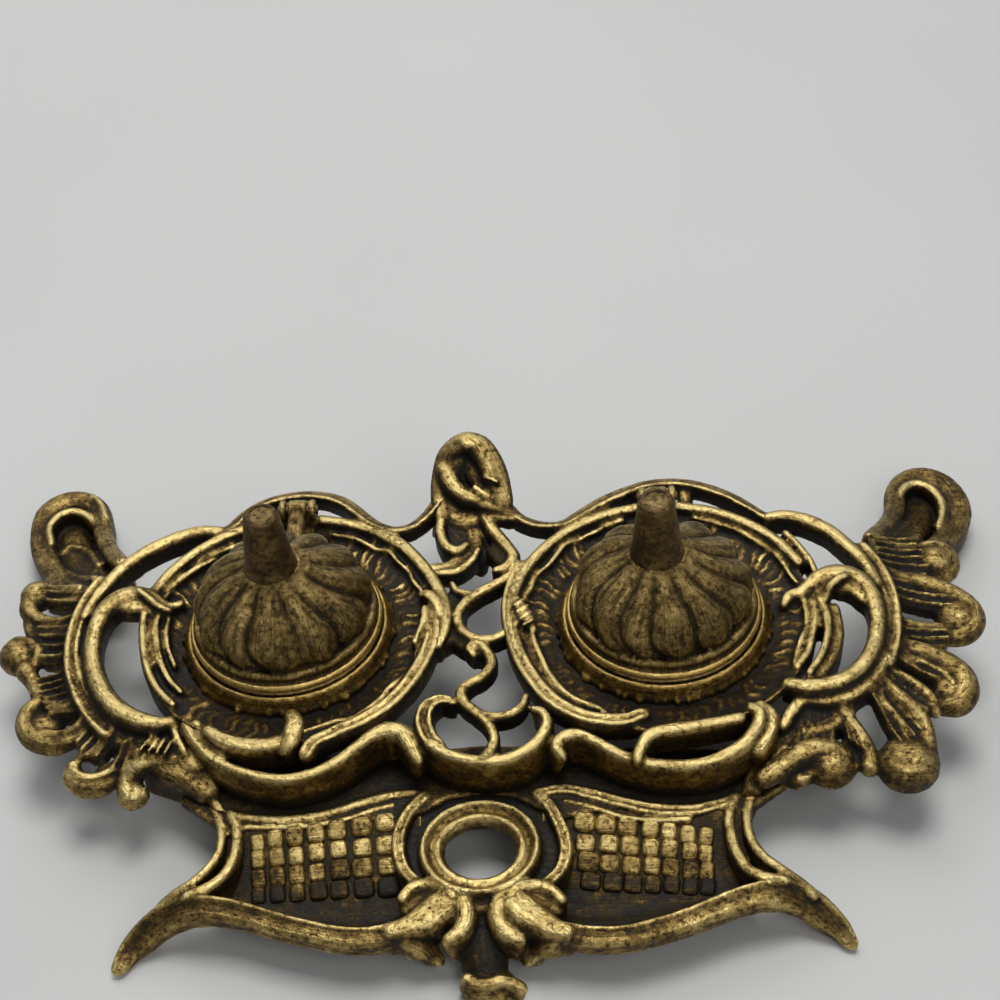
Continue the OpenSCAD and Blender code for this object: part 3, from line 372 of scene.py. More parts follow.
left_parts = wear_and_shade(0.76, 0.9, [dish(-1)]) + wear_and_shade(0.25, 0.85, [
    # thin wavy edge inside the rail
    wavy_lip(-1, 31.4, 75, -80, 11),
    wavy_lip(-1, 31.8, 105, 200, 12),
]) + wear_and_shade(0.13, 0.9, [
    # the rail behind the well, open at the hinge
    rail_arc(-1, 98, 160),
    rail_arc(-1, 82, 45),
    # the rail down the right side, with a knob where its second band starts
    stroke("soft", 6, [(375, 528, 27, 3.4), (400, 541, 27, 3.4), (420, 560, 27, 3.3), (436, 583, 27, 3.2),
                       (445, 605, 27, 3), (445, 625, 27, 2.6), (439, 644, 26.6, 1.6)]),
    stroke("twin", 6, [(431, 612, 27.2, 3.6), (432, 632, 27, 3.8), (424, 655, 27, 4), (409, 679, 27, 4),
                       (389, 700, 27, 3.8), (362, 717, 27, 3.6), (335, 729, 26.6, 3.4),
                       (314, 739, 26.2, 3.6), (305, 750, 25.4, 3.8)]),
    stroke("soft", 5, [(421, 592, 27.4, 2), (428, 592, 27.8, 3), (436, 600, 27.8, 3.2),
                       (440, 612, 27.4, 2.4)]),
    stroke("bead", 4, [(424, 606, 27.4, 1.6), (422, 622, 27.2, 1.6), (414, 640, 27, 1.4)]),
]) + wear_and_shade(0.25, 0.95, [
    # thin rims on the open side of the dish
    stroke("bead", 8, [(166, 583, 26.4, 1.8), (150, 597, 26.4, 1.8), (143, 615, 26.3, 2),
                       (142, 640, 26.3, 2), (146, 664, 26.3, 2), (156, 686, 26.3, 2),
                       (172, 702, 26.3, 1.8)]),
    stroke("bead", 6, [(163, 604, 26, 1.5), (156, 620, 25.8, 1.7), (156, 640, 25.8, 1.6),
                       (160, 660, 25.8, 1.8), (168, 677, 25.8, 1.6), (180, 690, 25.8, 1.4)]),
    stroke("bead", 4, [(170, 612, 25.2, 1.2), (166, 630, 25.2, 1.4), (168, 648, 25.2, 1.2),
                       (174, 664, 25.2, 1.3)]),
    stroke("bead", 5, [(166, 590, 26, 1.6), (182, 576, 26, 1.8), (197, 566, 26, 1.6),
                       (214, 558, 25.6, 1.2)]),
]) + wear_and_shade(0.14, 0.85, [
    # inner C scroll with the leaf that hooks over the dish
    stroke("bead", 6.5, [(180, 601, 26, 2.2), (171, 604, 26.2, 2.8), (161, 601, 26.8, 3.6),
                         (150, 594, 27.6, 4.8), (136, 590, 28.2, 6), (120, 593, 28, 6.4),
                         (106, 603, 27.4, 5.6), (97, 618, 27, 4.8), (92, 636, 26.6, 4.4),
                         (91, 655, 26.4, 4.6), (95, 674, 26.4, 5), (104, 692, 26.4, 5.4),
                         (118, 706, 26.2, 5.6), (137, 715, 26, 5), (155, 719, 25.4, 4.2),
                         (170, 719, 24.6, 3)]),
    stroke("soft", 5, [(112, 602, 26.6, 5), (128, 600, 27, 6.6), (144, 602, 26.8, 6),
                       (156, 608, 26.2, 4)]),
    stroke("bead", 3, [(138, 588, 29, 1.6), (148, 596, 28.6, 1.8), (158, 604, 27.6, 1.8),
                       (170, 609, 26.6, 1.4)]),
    # outer C scroll
    stroke("bead", 6, [(217, 528, 27, 3.4), (200, 528, 27.2, 4), (180, 533, 27.2, 4.2),
                       (160, 541, 27, 4.2), (141, 551, 27, 4), (123, 564, 26.6, 3.8),
                       (108, 579, 26.2, 3.6), (95, 595, 25.8, 3), (84, 613, 25.4, 2.6)]),
    stroke("twin", 6, [(100, 580, 25.4, 4.4), (86, 600, 25, 4.6), (76, 622, 24.6, 4.4),
                       (71, 645, 24.4, 4.2), (72, 668, 24.2, 4.4), (79, 690, 24, 4.6),
                       (90, 710, 23.6, 4.8), (105, 726, 23.4, 5)]),
]) + wear_and_shade(0.8, 0.95, [
    # ribbed web of the shell, open in four slots
    flutes([(90, 588, 23), (80, 605, 22.6)], [(48, 588, 19.4), (46, 604, 19)], 2),
    flutes([(80, 611, 22.6), (73, 634, 22.4), (71, 658, 22.2)],
           [(34, 617, 18.4), (38, 636, 18.2), (42, 662, 18.6)], 5),
    flutes([(71, 663, 22.2), (77, 690, 22), (90, 712, 21.8)],
           [(34, 678, 17.8), (38, 698, 18), (50, 717, 18)], 7),
    flutes([(92, 714, 21.8), (104, 729, 21.6), (113, 736, 21.4)],
           [(74, 740, 18.8), (82, 754, 18), (100, 760, 17.6)], 4),
    flutes([(122, 738, 21.2), (136, 744, 21)], [(108, 768, 17), (126, 772, 17)], 2),
]) + wear_and_shade(0.38, 0.75, [
    # rolled knobs of the shell and the arms that end in them
    knob(38, 597, 22, 4.3, 0.8),
    roll((33, 600, 18.4, 5.4), (30, 612, 18.4, 5), (40, 620, 19, 3.6), (58, 622, 20.4, 2.4),
         (78, 616, 22, 2)),
    roll((44, 589, 19.4, 3), (56, 590, 20.4, 2.4), (80, 588, 22.4, 2)),
    roll((50, 602, 19.8, 1.6), (64, 601, 21, 1.6), (84, 598, 22.4, 1.6)),
    roll((30, 624, 17.6, 3.6), (35, 636, 17.8, 3.4), (52, 636, 19.4, 2.2), (72, 628, 21.6, 1.6)),
    knob(21, 657, 21.2, 5.2, 0.8),
    roll((9, 655, 18, 3.4), (16, 645, 18.8, 3.8), (30, 645, 19.4, 3.4), (39, 654, 19.2, 3.4),
         (35, 666, 18.4, 3.2)),
    roll((26, 672, 17.8, 5), (34, 684, 18, 4), (38, 697, 18.2, 3.4)),
    knob(42, 733, 20, 5, 0.7),
    roll((42, 700, 18.6, 1.8), (56, 708, 19.8, 2), (70, 705, 21.2, 1.8), (82, 697, 22.2, 1.6)),
    roll((41, 703, 18.2, 3.6), (30, 712, 18, 4.4), (26, 725, 17.8, 5), (32, 738, 17.6, 5.4),
         (46, 744, 17.8, 5.4), (62, 744, 18.2, 4.8), (78, 737, 19.4, 3.2), (86, 724, 21, 2.2)),
    roll((44, 733, 19.4, 2), (60, 735, 19.8, 2.2), (74, 729, 20.8, 2), (84, 718, 22, 1.8)),
    roll((106, 730, 21.8, 1.8), (102, 744, 20.2, 2), (92, 754, 19, 2.2), (80, 758, 18.2, 2)),
    roll((130, 740, 21, 2), (127, 753, 19.4, 2), (116, 764, 17.8, 2.2), (100, 771, 17, 2)),
]) + wear_and_shade(0.15, 0.6, [
    # curled ends at the front of the shell
    roll((74, 768, 17.4, 3.6), (73, 778, 16, 5), (84, 785, 15.2, 6), (98, 786, 15, 5.6),
         (112, 780, 15.4, 4.6)),
    roll((72, 770, 18, 2), (83, 777, 17.8, 2.2), (98, 777, 17.6, 2), (114, 770, 17.8, 2)),
    roll((174, 760, 19, 4.4), (153, 763, 18.4, 5.2), (136, 771, 17.4, 5.4), (127, 784, 16, 4.8),
         (131, 797, 15, 5.2), (141, 796, 15, 4)),
    knob(133, 796, 17.6, 3.6, 0.8),
]) + wear_and_shade(0.3, 0.7, [
    # leaf that leads from the shell to the front wall
    stroke("soft", 8, [(105, 718, 22.4, 6), (125, 726, 22, 7), (148, 734, 21.6, 8), (172, 744, 21.2, 8),
                       (192, 756, 20.4, 7)]),
    stroke("bead", 5, [(120, 740, 21.6, 2.2), (132, 746, 21, 2.4), (130, 756, 20, 2.2)]),
    *marks(23.2, 0.9, (150, 736, 140, 748), (157, 737, 148, 750), (164, 738, 156, 751),
           (171, 740, 164, 752)),
    stroke("bead", 5, [(173, 722, 24, 2), (176, 736, 22.8, 2.2), (184, 750, 21.6, 2)]),
    stroke("soft", 9, [(150, 762, 18, 5), (172, 768, 18, 5.5), (192, 776, 17.6, 5.5), (206, 790, 16, 5)]),
    stroke("soft", 7, [(118, 734, 21.4, 6), (145, 745, 21, 8), (170, 757, 20.4, 9), (190, 769, 19, 8),
                       (207, 784, 17, 6)]),
    stroke("bead", 10, [(192, 770, 16.6, 3), (207, 790, 15, 3), (219, 808, 14, 2.6),
                        (226, 824, 13.6, 2.2)]),
]) + wear_and_shade(0.3, 0.95, [
    # arch behind the well
    stroke("rlip", 5, [(215, 532, 26.4, 3), (232, 522, 27, 3.6), (248, 508, 27.4, 4),
                       (270, 497, 27.8, 4.2), (298, 491, 28, 4.4), (325, 492, 28, 4.4),
                       (345, 499, 27.8, 4.4), (360, 510, 27.4, 4), (374, 520, 27.2, 3.6),
                       (392, 526, 27.2, 3.4), (410, 523, 27.8, 3.4), (426, 511, 28.8, 3.6),
                       (437, 497, 30, 3.6)]),
    stroke("bead", 3.5, [(303, 500, 26.6, 4), (307, 515, 26, 3.6)]),
    stroke("bead", 3.5, [(262, 505, 26.6, 3), (262, 518, 26, 3)]),
]) + wear_and_shade(0.5, 0.7, [
    # rear corner scroll
    stroke("soft", 8, [(120, 558, 20, 4), (109, 546, 15, 4.4), (102, 530, 11.6, 4.8), (101, 514, 9.8, 5.4),
                       (93, 502, 9, 6.2), (78, 496, 9, 6.6), (60, 499, 9, 6.6), (46, 510, 9, 6.6),
                       (41, 529, 9, 6.4), (43, 549, 9.6, 6.4), (53, 567, 11.4, 6.2), (68, 583, 15, 6),
                       (84, 590, 19, 5)]),
    stroke("soft", 8, [(70, 526, 5.4, 8), (75, 546, 7, 9.6), (83, 564, 11, 9), (96, 578, 16, 8)]),
]) + wear_and_shade(0.15, 0.6, [
    # bright lines on the corner scroll
    stroke("bead", 6, [(51, 541, 10, 2), (49, 526, 10, 2.2), (58, 514, 10.2, 2.6), (72, 509, 10.2, 2.8),
                       (86, 513, 10, 2.6), (94, 522, 9.8, 2)]),
    stroke("bead", 4, [(92, 494, 9.6, 1.6), (101, 503, 10, 1.8), (105, 516, 10.6, 1.6)]),
]) + wear_and_shade(0.5, 0.8, [
    # folds between the corner scroll and the shell
    stroke("bead", 5, [(62, 552, 8.4, 2), (72, 545, 8.4, 2.4), (88, 550, 10, 2.4), (98, 562, 14, 2.4)]),
    stroke("bead", 5, [(64, 570, 12, 2.4), (78, 576, 14.6, 3), (92, 576, 18, 3)]),
    stroke("bead", 5, [(62, 584, 14, 3), (76, 590, 18, 3.4), (92, 588, 22, 3)]),
])

right_parts = wear_and_shade(0.76, 0.9, [dish(1)]) + wear_and_shade(0.25, 0.85, [
    # thin wavy edge inside the rail
    wavy_lip(1, 31.6, 105, 260, 13),
    wavy_lip(1, 31.8, 75, -30, 14),
]) + wear_and_shade(0.13, 0.9, [
    # the rail behind the well, open at the hinge
    rail_arc(1, 82, 25),
    rail_arc(1, 98, 200),
    # the rail down the left side, with a hatched knot on it
    stroke("twin", 6, [(520, 562, 27, 3.2), (511, 585, 27, 3.4), (508, 607, 27, 3.6), (512, 632, 27, 3.8),
                       (520, 655, 27, 4), (534, 678, 27, 4), (552, 697, 27, 4), (577, 711, 27, 3.8),
                       (602, 717, 27, 3.8), (626, 717, 26.8, 3.8), (643, 711, 26.6, 3.4)]),
    stroke("soft", 4, [(516, 597, 27.6, 2.4), (522, 607, 27.9, 3.8), (528, 617, 27.8, 3.6),
                       (533, 628, 27, 2)]),
    *marks(28.6, 0.8, (514, 603, 524, 597), (516, 610, 528, 603), (519, 617, 531, 610),
           (523, 623, 534, 617)),
    stroke("bead", 5, [(533, 636, 26.4, 1.6), (541, 655, 26.2, 1.6), (552, 676, 26, 1.8),
                       (570, 694, 26, 1.6), (592, 704, 26, 1.6)]),
]) + wear_and_shade(0.3, 0.8, [
    # thin rims on the open side of the dish
    stroke("bead", 6, [(786, 531, 26.4, 2), (800, 545, 26, 1.8), (811, 560, 25.6, 1.8),
                       (817, 574, 25, 1.8)]),
    stroke("bead", 8, [(820, 596, 26.4, 1.8), (827, 612, 26.3, 2.2), (828, 632, 26.3, 2),
                       (822, 652, 26.3, 2), (810, 670, 26.3, 1.8)]),
    stroke("soft", 8, [(834, 606, 25.4, 3), (838, 630, 25, 3), (832, 652, 25, 3), (820, 672, 25, 3)]),
    stroke("bead", 6, [(812, 600, 26, 1.5), (816, 614, 25.8, 2), (813, 632, 25.8, 1.6),
                       (808, 650, 25.8, 1.8), (798, 664, 25.8, 1.5)]),
]) + wear_and_shade(0.14, 0.85, [
    # inner C scroll with the leaf that hooks over the dish
    stroke("bead", 6.5, [(784, 602, 26, 2), (790, 592, 26.6, 3), (800, 589, 27, 3.6),
                         (811, 580, 27.6, 4.4), (824, 571, 28.2, 5.6), (840, 568, 28.4, 6),
                         (857, 573, 28, 5.4), (869, 585, 27.4, 4.6), (876, 602, 27, 4.4),
                         (878, 622, 26.6, 4.2), (874, 643, 26.4, 4.2), (864, 660, 26.2, 4.4),
                         (848, 673, 26.2, 4.6), (828, 680, 26.2, 4.6), (808, 682, 26.2, 4.4),
                         (790, 680, 26, 3.6)]),
    stroke("soft", 5, [(818, 592, 26.4, 3.6), (826, 581, 27.2, 5.4), (840, 578, 27.6, 6.6),
                       (855, 584, 27.2, 5.6), (867, 596, 26.6, 4)]),
    stroke("bead", 5, [(826, 597, 26.6, 1.8), (829, 586, 28.2, 2), (836, 578, 29.2, 2),
                       (846, 573, 29.4, 1.8)]),
    # outer C scroll
    stroke("bead", 6, [(768, 514, 26.8, 3), (786, 512, 27.2, 3.8), (806, 516, 27.2, 4.2),
                       (828, 526, 27, 4.2), (848, 542, 26.6, 4), (865, 560, 26.2, 3.6),
                       (877, 580, 25.8, 3.2)]),
    stroke("twin", 6, [(862, 545, 25.4, 4), (878, 565, 25, 4.2), (889, 588, 24.6, 4.2),
                       (894, 612, 24.4, 4), (894, 636, 24.2, 3.8), (888, 658, 24, 4)]),
    stroke("bead", 6, [(886, 655, 24.4, 3), (872, 677, 24, 3.4), (850, 692, 23.8, 3.4),
                       (824, 698, 23.6, 3), (804, 697, 23.6, 3.2), (792, 708, 23, 3.4),
                       (784, 722, 22.2, 3)]),
]) + wear_and_shade(0.8, 0.95, [
    # ribbed web of the shell, open in three slots
    flutes([(868, 532, 22.6), (876, 550, 22.6), (888, 572, 22.6)],
           [(908, 536, 19.4), (926, 554, 19), (928, 580, 18.4)], 6),
    flutes([(889, 574, 22.4), (895, 588, 22.2), (899, 601, 22)],
           [(936, 582, 20), (958, 598, 19.6), (944, 608, 19.2)], 3),
    flutes([(900, 615, 21.8), (900, 632, 21.6), (898, 648, 21.6)],
           [(940, 621, 19.2), (950, 634, 18.6), (944, 650, 18.6)], 4),
    flutes([(898, 640, 21.8), (894, 657, 21.6)], [(962, 668, 19.2), (936, 680, 19)], 4),
    flutes([(890, 666, 21.6), (881, 683, 21.4)], [(940, 700, 17.8), (922, 716, 17.8)], 4),
    flutes([(881, 682, 21.4), (869, 692, 21.4)], [(924, 728, 17.2), (900, 748, 17)], 4),
    flutes([(852, 695, 21.4), (834, 702, 21.2)], [(868, 752, 17.2), (846, 738, 18)], 3),
    flutes([(836, 700, 21.2), (800, 704, 21)], [(836, 740, 18), (790, 750, 18)], 5, 0.5),
]) + wear_and_shade(0.38, 0.75, [
    # rolled knobs of the shell and the arms that end in them
    roll((872, 541, 22, 2), (895, 546, 20.6, 2.2), (916, 552, 19.2, 2.8)),
    knob(934, 564, 21.8, 5, 0.8),
    roll((918, 552, 18.8, 3.4), (932, 548, 19, 4), (946, 554, 18.6, 4.2), (951, 566, 17.8, 4.4),
         (944, 577, 17.2, 4), (930, 580, 17.4, 3)),
    roll((888, 577, 21.8, 3.2), (912, 582, 20.8, 4.4), (934, 588, 20, 5), (955, 598, 19.4, 5.4),
         (969, 610, 18.6, 5.8), (973, 624, 18, 5.8), (964, 635, 17.6, 5.2), (950, 639, 17.6, 4)),
    knob(957, 620, 21.8, 5.2, 0.8),
    roll((900, 622, 21.6, 1.8), (922, 627, 20.4, 2), (944, 630, 19.4, 2)),
    roll((898, 648, 20.8, 3.6), (924, 655, 20, 5.4), (945, 665, 19.2, 6.2), (960, 678, 18.2, 6.8),
         (964, 692, 17.4, 7), (958, 703, 16.8, 6.4), (944, 706, 16.6, 5)),
    knob(953, 690, 20.6, 5.4, 0.7),
    roll((902, 641, 22, 1.6), (926, 647, 21.6, 1.7), (948, 657, 20.8, 1.7), (966, 671, 20, 1.7),
         (973, 686, 18.8, 1.6)),
    roll((900, 655, 21.8, 1.5), (924, 663, 21.2, 1.6), (944, 674, 20.4, 1.6), (956, 688, 19.6, 1.6)),
    roll((890, 670, 21.4, 2.2), (911, 682, 20.2, 2.6), (929, 697, 19, 3), (935, 712, 17.6, 3)),
    roll((882, 682, 21.2, 2.8), (900, 697, 20.2, 3.4), (915, 712, 18.8, 4), (924, 728, 17.4, 4.4),
         (927, 746, 16.2, 4.6)),
    roll((872, 690, 21.6, 1.8), (886, 706, 20.4, 2.2), (899, 722, 19, 2.4), (909, 740, 17.6, 2.4)),
    knob(908, 765, 19.8, 7, 0.75),
    roll((927, 748, 16, 4.6), (927, 762, 15, 5), (918, 773, 14.2, 5.2), (903, 776, 14, 5.2),
         (892, 768, 14.4, 4.8), (892, 755, 15.2, 4), (904, 749, 16, 4)),
    roll((838, 703, 21.4, 2.6), (849, 720, 20, 3.2), (861, 738, 18.4, 3.8), (868, 754, 17, 4.2),
         (870, 767, 16.2, 4.6)),
]) + wear_and_shade(0.3, 0.75, [
    # curl at the front of the shell
    stroke("soft", 6, [(846, 702, 22, 4), (836, 716, 21, 4.4), (820, 724, 20.4, 4.4), (800, 728, 20, 4)]),
    roll((764, 779, 16, 4.6), (782, 768, 16.6, 5.4), (800, 757, 17.2, 6), (818, 752, 17.2, 6.4),
         (834, 755, 16.6, 6.2), (843, 765, 15.6, 5.6), (839, 776, 14.8, 5.2), (829, 779, 14.8, 4.8)),
    knob(831, 765, 19.4, 5.8, 0.75),
    flutes([(786, 742, 18.6), (762, 766, 17)], [(834, 764, 15.6), (800, 782, 14.6)], 3, 0.6),
]) + wear_and_shade(0.5, 0.8, [
    # tie down to the tray
    stroke("soft", 9, [(790, 735, 19.6, 6), (772, 756, 18, 6), (756, 775, 16.4, 5), (750, 790, 15, 4)]),
]) + wear_and_shade(0.35, 0.95, [
    # arch behind the well
    stroke("rlip", 5, [(505, 500, 29, 3.4), (520, 514, 27.8, 3.4), (540, 521, 27.4, 3.4),
                       (562, 520, 27.2, 3.4), (580, 510, 27.2, 4), (600, 498, 27.4, 4.6),
                       (622, 488, 27.6, 4.6), (648, 480, 27.8, 4.4), (676, 478, 28, 4.4),
                       (702, 482, 28, 4.4), (727, 491, 27.8, 4), (746, 501, 27.4, 3.6),
                       (764, 512, 27, 3)]),
    stroke("bead", 4, [(575, 522, 26.6, 2.4), (590, 512, 26.6, 2.4), (604, 506, 26.4, 2.2),
                       (612, 500, 26.4, 2)]),
    stroke("bead", 4, [(585, 520, 26.2, 1.8), (600, 510, 26.4, 1.8), (617, 496, 26.6, 1.8)]),
    stroke("bead", 3.5, [(684, 488, 26.8, 4), (686, 502, 26, 3.6)]),
    stroke("bead", 3.5, [(640, 490, 26.8, 3), (642, 502, 26, 3)]),
]) + wear_and_shade(0.5, 0.7, [
    # rear corner scroll
    stroke("soft", 8, [(872, 532, 20.6, 4), (887, 520, 15, 4.6), (895, 506, 11.6, 5), (896, 490, 9.8, 5.6),
                       (905, 477, 9, 6.2), (921, 472, 9, 6.6), (939, 477, 9, 6.8), (953, 490, 9, 6.8),
                       (959, 506, 9, 6.6), (954, 523, 9.4, 6.4), (942, 537, 11, 6), (926, 547, 14, 5)]),
    stroke("soft", 8, [(918, 497, 5.4, 8), (917, 512, 7, 9), (909, 527, 10.6, 8.6), (895, 540, 15, 8)]),
]) + wear_and_shade(0.15, 0.6, [
    # bright line on the corner scroll
    stroke("bead", 6, [(898, 503, 10.4, 2), (902, 489, 10.4, 2.2), (913, 481, 10.4, 2.6),
                       (928, 484, 10.4, 2.8), (940, 496, 10.2, 2.6), (943, 511, 10, 2.4),
                       (939, 524, 10, 2)]),
]) + wear_and_shade(0.5, 0.8, [
    # folds between the corner scroll and the shell
    stroke("bead", 5, [(876, 540, 20, 3), (893, 532, 15, 3), (907, 522, 11, 2.6)]),
    stroke("bead", 5, [(884, 548, 20, 2.4), (902, 542, 15.6, 2.8), (918, 534, 12.4, 2.6)]),
])

middle_parts = wear_and_shade(0.12, 0.9, [
    # hooded crest leaf, rolled around a slot
    stroke("soft", 7, [(441, 514, 28, 4), (440, 492, 30.6, 5), (442, 470, 33.6, 5.6), (448, 450, 37, 6.4),
                       (462, 437, 39.4, 6.6), (478, 440, 39, 6.8), (490, 458, 36.4, 7),
                       (498, 479, 33.4, 6.4), (504, 500, 30.4, 5)]),
    stroke("soft", 7, [(448, 508, 28.4, 7), (449, 488, 31, 7), (450, 468, 34, 6.4),
                       (456, 452, 36.6, 4.6)]),
    stroke("soft", 7, [(472, 450, 36, 5), (480, 466, 34, 8), (488, 482, 31.6, 8), (492, 496, 30, 5)]),
    *marks(36.2, 1.0, (476, 448, 488, 452), (478, 454, 491, 459)),
    *marks(34.2, 1.0, (481, 462, 494, 466), (483, 468, 496, 473), (484, 475, 497, 480)),
    stroke("bead", 6, [(446, 467, 34.6, 5.4), (453, 480, 33.4, 5.4), (464, 490, 32, 5),
                       (478, 496, 31, 4.6), (494, 503, 29.8, 4), (510, 509, 28.6, 3.4)]),
    stroke("bead", 6, [(476, 486, 32.4, 2), (486, 493, 31.4, 2.6), (500, 500, 30.2, 2.4)]),
    stroke("bead", 3.6, [(482, 508, 28.6, 3), (500, 514, 28, 3), (518, 516, 27.6, 2.6)]),
    stroke("soft", 10, [(448, 506, 28, 7), (464, 511, 27.4, 9), (480, 511, 27.4, 7)]),
]) + wear_and_shade(0.8, 0.95, [
    # dark ground in the leaf and between the scrolls, near black: partly painted shade in these gaps
    stroke("soft", 6, [(466, 456, 31.4, 8), (470, 478, 29, 8)]),
    stroke("soft", 5, [(455, 524, 25.6, 8), (464, 538, 25, 9), (474, 548, 24.6, 8)]),
    stroke("soft", 5, [(496, 548, 25.4, 5), (507, 560, 25.4, 5)]),
    stroke("soft", 5, [(446, 598, 25, 5), (454, 612, 25, 6), (450, 626, 25, 5)]),
    stroke("soft", 5, [(440, 640, 25, 4), (452, 632, 25, 5), (466, 640, 25, 5), (480, 648, 24.8, 5)]),
]) + wear_and_shade(0.15, 0.9, [
    # bands under the leaf
    stroke("bead", 6, [(484, 512, 28, 3.4), (493, 527, 27.4, 3.6), (505, 541, 27, 3.6),
                       (513, 553, 26.8, 3.4), (507, 563, 26.6, 3), (496, 568, 26.4, 2.4)]),
    stroke("bead", 6, [(441, 516, 27.6, 3), (440, 530, 27, 3), (446, 543, 26.6, 3.2), (457, 548, 26.4, 3),
                       (466, 543, 26.2, 2.2)]),
    stroke("soft", 6, [(470, 514, 26.4, 5), (473, 530, 25.4, 5), (473, 545, 25, 4.6),
                       (462, 558, 24.8, 4.4), (447, 565, 25, 4), (434, 566, 25.4, 3.6)]),
    stroke("bead", 5, [(478, 548, 25.8, 1.8), (470, 560, 25.6, 2.2), (456, 569, 25.6, 2.4),
                       (438, 571, 25.8, 2.2)]),
]) + wear_and_shade(0.2, 0.95, [
    # openwork between the wells
    stroke("bead", 5, [(516, 562, 26.6, 2.6), (508, 574, 26.4, 2.8), (492, 583, 26.4, 3),
                       (475, 592, 26.4, 3), (462, 603, 26.4, 3), (457, 616, 26.4, 3), (463, 629, 26.4, 3),
                       (477, 636, 26.4, 2.8), (492, 636, 26.4, 2.6), (506, 630, 26.4, 2.6)]),
    stroke("bead", 4, [(452, 582, 26.2, 1.8), (457, 589, 26.2, 2.2), (470, 592, 26.4, 2.2)]),
    stroke("bead", 5, [(443, 613, 26, 3), (457, 615, 26, 3)]),
    stroke("bead", 4, [(476, 635, 26, 2.2), (473, 645, 26, 2.2)]),
    stroke("bead", 5, [(473, 652, 25.8, 2.2), (469, 646, 26, 2.4), (477, 641, 26.2, 2.6),
                       (487, 649, 26.2, 2.8), (491, 661, 26.2, 3), (483, 673, 26.2, 2.8),
                       (470, 680, 26.2, 2.8), (461, 689, 26.2, 3), (465, 701, 26.2, 3),
                       (477, 710, 26.2, 3), (488, 721, 26.2, 2.8), (494, 735, 26, 2.6),
                       (490, 747, 25.4, 2.8), (483, 755, 24.6, 2.6)]),
    stroke("bead", 5, [(478, 711, 26, 2.2), (493, 714, 26.2, 2.4), (509, 712, 26.2, 2.4),
                       (521, 704, 26.2, 2.2), (526, 694, 26, 1.8)]),
    stroke("twin", 6, [(454, 700, 25.6, 2), (441, 697, 26, 2.8), (428, 703, 26, 4), (423, 717, 25.6, 4.6),
                       (427, 732, 25, 4.6), (438, 745, 24.4, 4)]),
]) + wear_and_shade(0.05, 0.42, [
    # the middle front wall, with its bright edge
    stroke("bead", 11, [(430, 741, 24.8, 2.8), (446, 750, 24.4, 3), (465, 756, 24.2, 3),
                        (487, 758, 24.2, 3), (508, 755, 24.2, 3), (527, 746, 24.6, 3), (541, 733, 25, 3),
                        (547, 719, 25.4, 3), (542, 709, 25.6, 2.6), (534, 707, 25.4, 2)]),
    # left front wall and the bar behind it
    stroke("bead", 10, [(186, 722, 24.6, 3), (194, 737, 24, 3), (208, 752, 23.4, 2.8), (230, 765, 23, 2.8),
                        (256, 773, 22.8, 2.8), (285, 776, 22.8, 2.8), (312, 770, 23, 2.8),
                        (336, 758, 23.6, 3), (356, 743, 24.2, 3.4), (371, 731, 24.8, 4.2),
                        (386, 725, 25.2, 5), (401, 728, 25, 5), (410, 741, 24, 4.4), (417, 755, 23, 3.4)]),
    stroke("bead", 8, [(196, 722, 25, 2.6), (204, 735, 24.6, 2.4), (222, 750, 24, 2)]),
    stroke("soft", 7, [(208, 728, 26.2, 3), (221, 736, 26.2, 3.6), (240, 741, 26.2, 4),
                       (262, 742, 26.2, 4), (278, 739, 26.2, 4)]),
    stroke("soft", 7, [(284, 744, 26, 4), (290, 734, 26.8, 4.6), (294, 720, 27.2, 4.6),
                       (291, 712, 27, 3.6)]),
    # right front wall and the bar behind it
    stroke("bead", 10, [(562, 752, 23, 3), (556, 742, 24, 3), (564, 733, 24.6, 3.4), (577, 730, 24.8, 3.4),
                        (594, 737, 24.2, 3), (614, 748, 23.6, 3), (635, 757, 23, 3), (658, 761, 22.8, 3.2),
                        (682, 762, 22.8, 3.2), (706, 759, 23.2, 3.2), (728, 750, 23.8, 3.4),
                        (746, 738, 24.6, 3.4), (757, 723, 25.4, 3.4), (760, 710, 26, 3.4),
                        (752, 704, 26, 2.8)]),
    stroke("soft", 9, [(762, 704, 25.8, 3), (770, 712, 25, 4), (768, 728, 24, 4), (758, 744, 23, 4)]),
    stroke("bead", 7, [(637, 757, 24, 2.6), (641, 744, 24.8, 3), (650, 731, 25.4, 3.4),
                       (668, 726, 25.6, 3.6), (692, 723, 25.6, 3.4), (716, 719, 25.6, 3.2),
                       (740, 714, 25.6, 2.8)]),
])


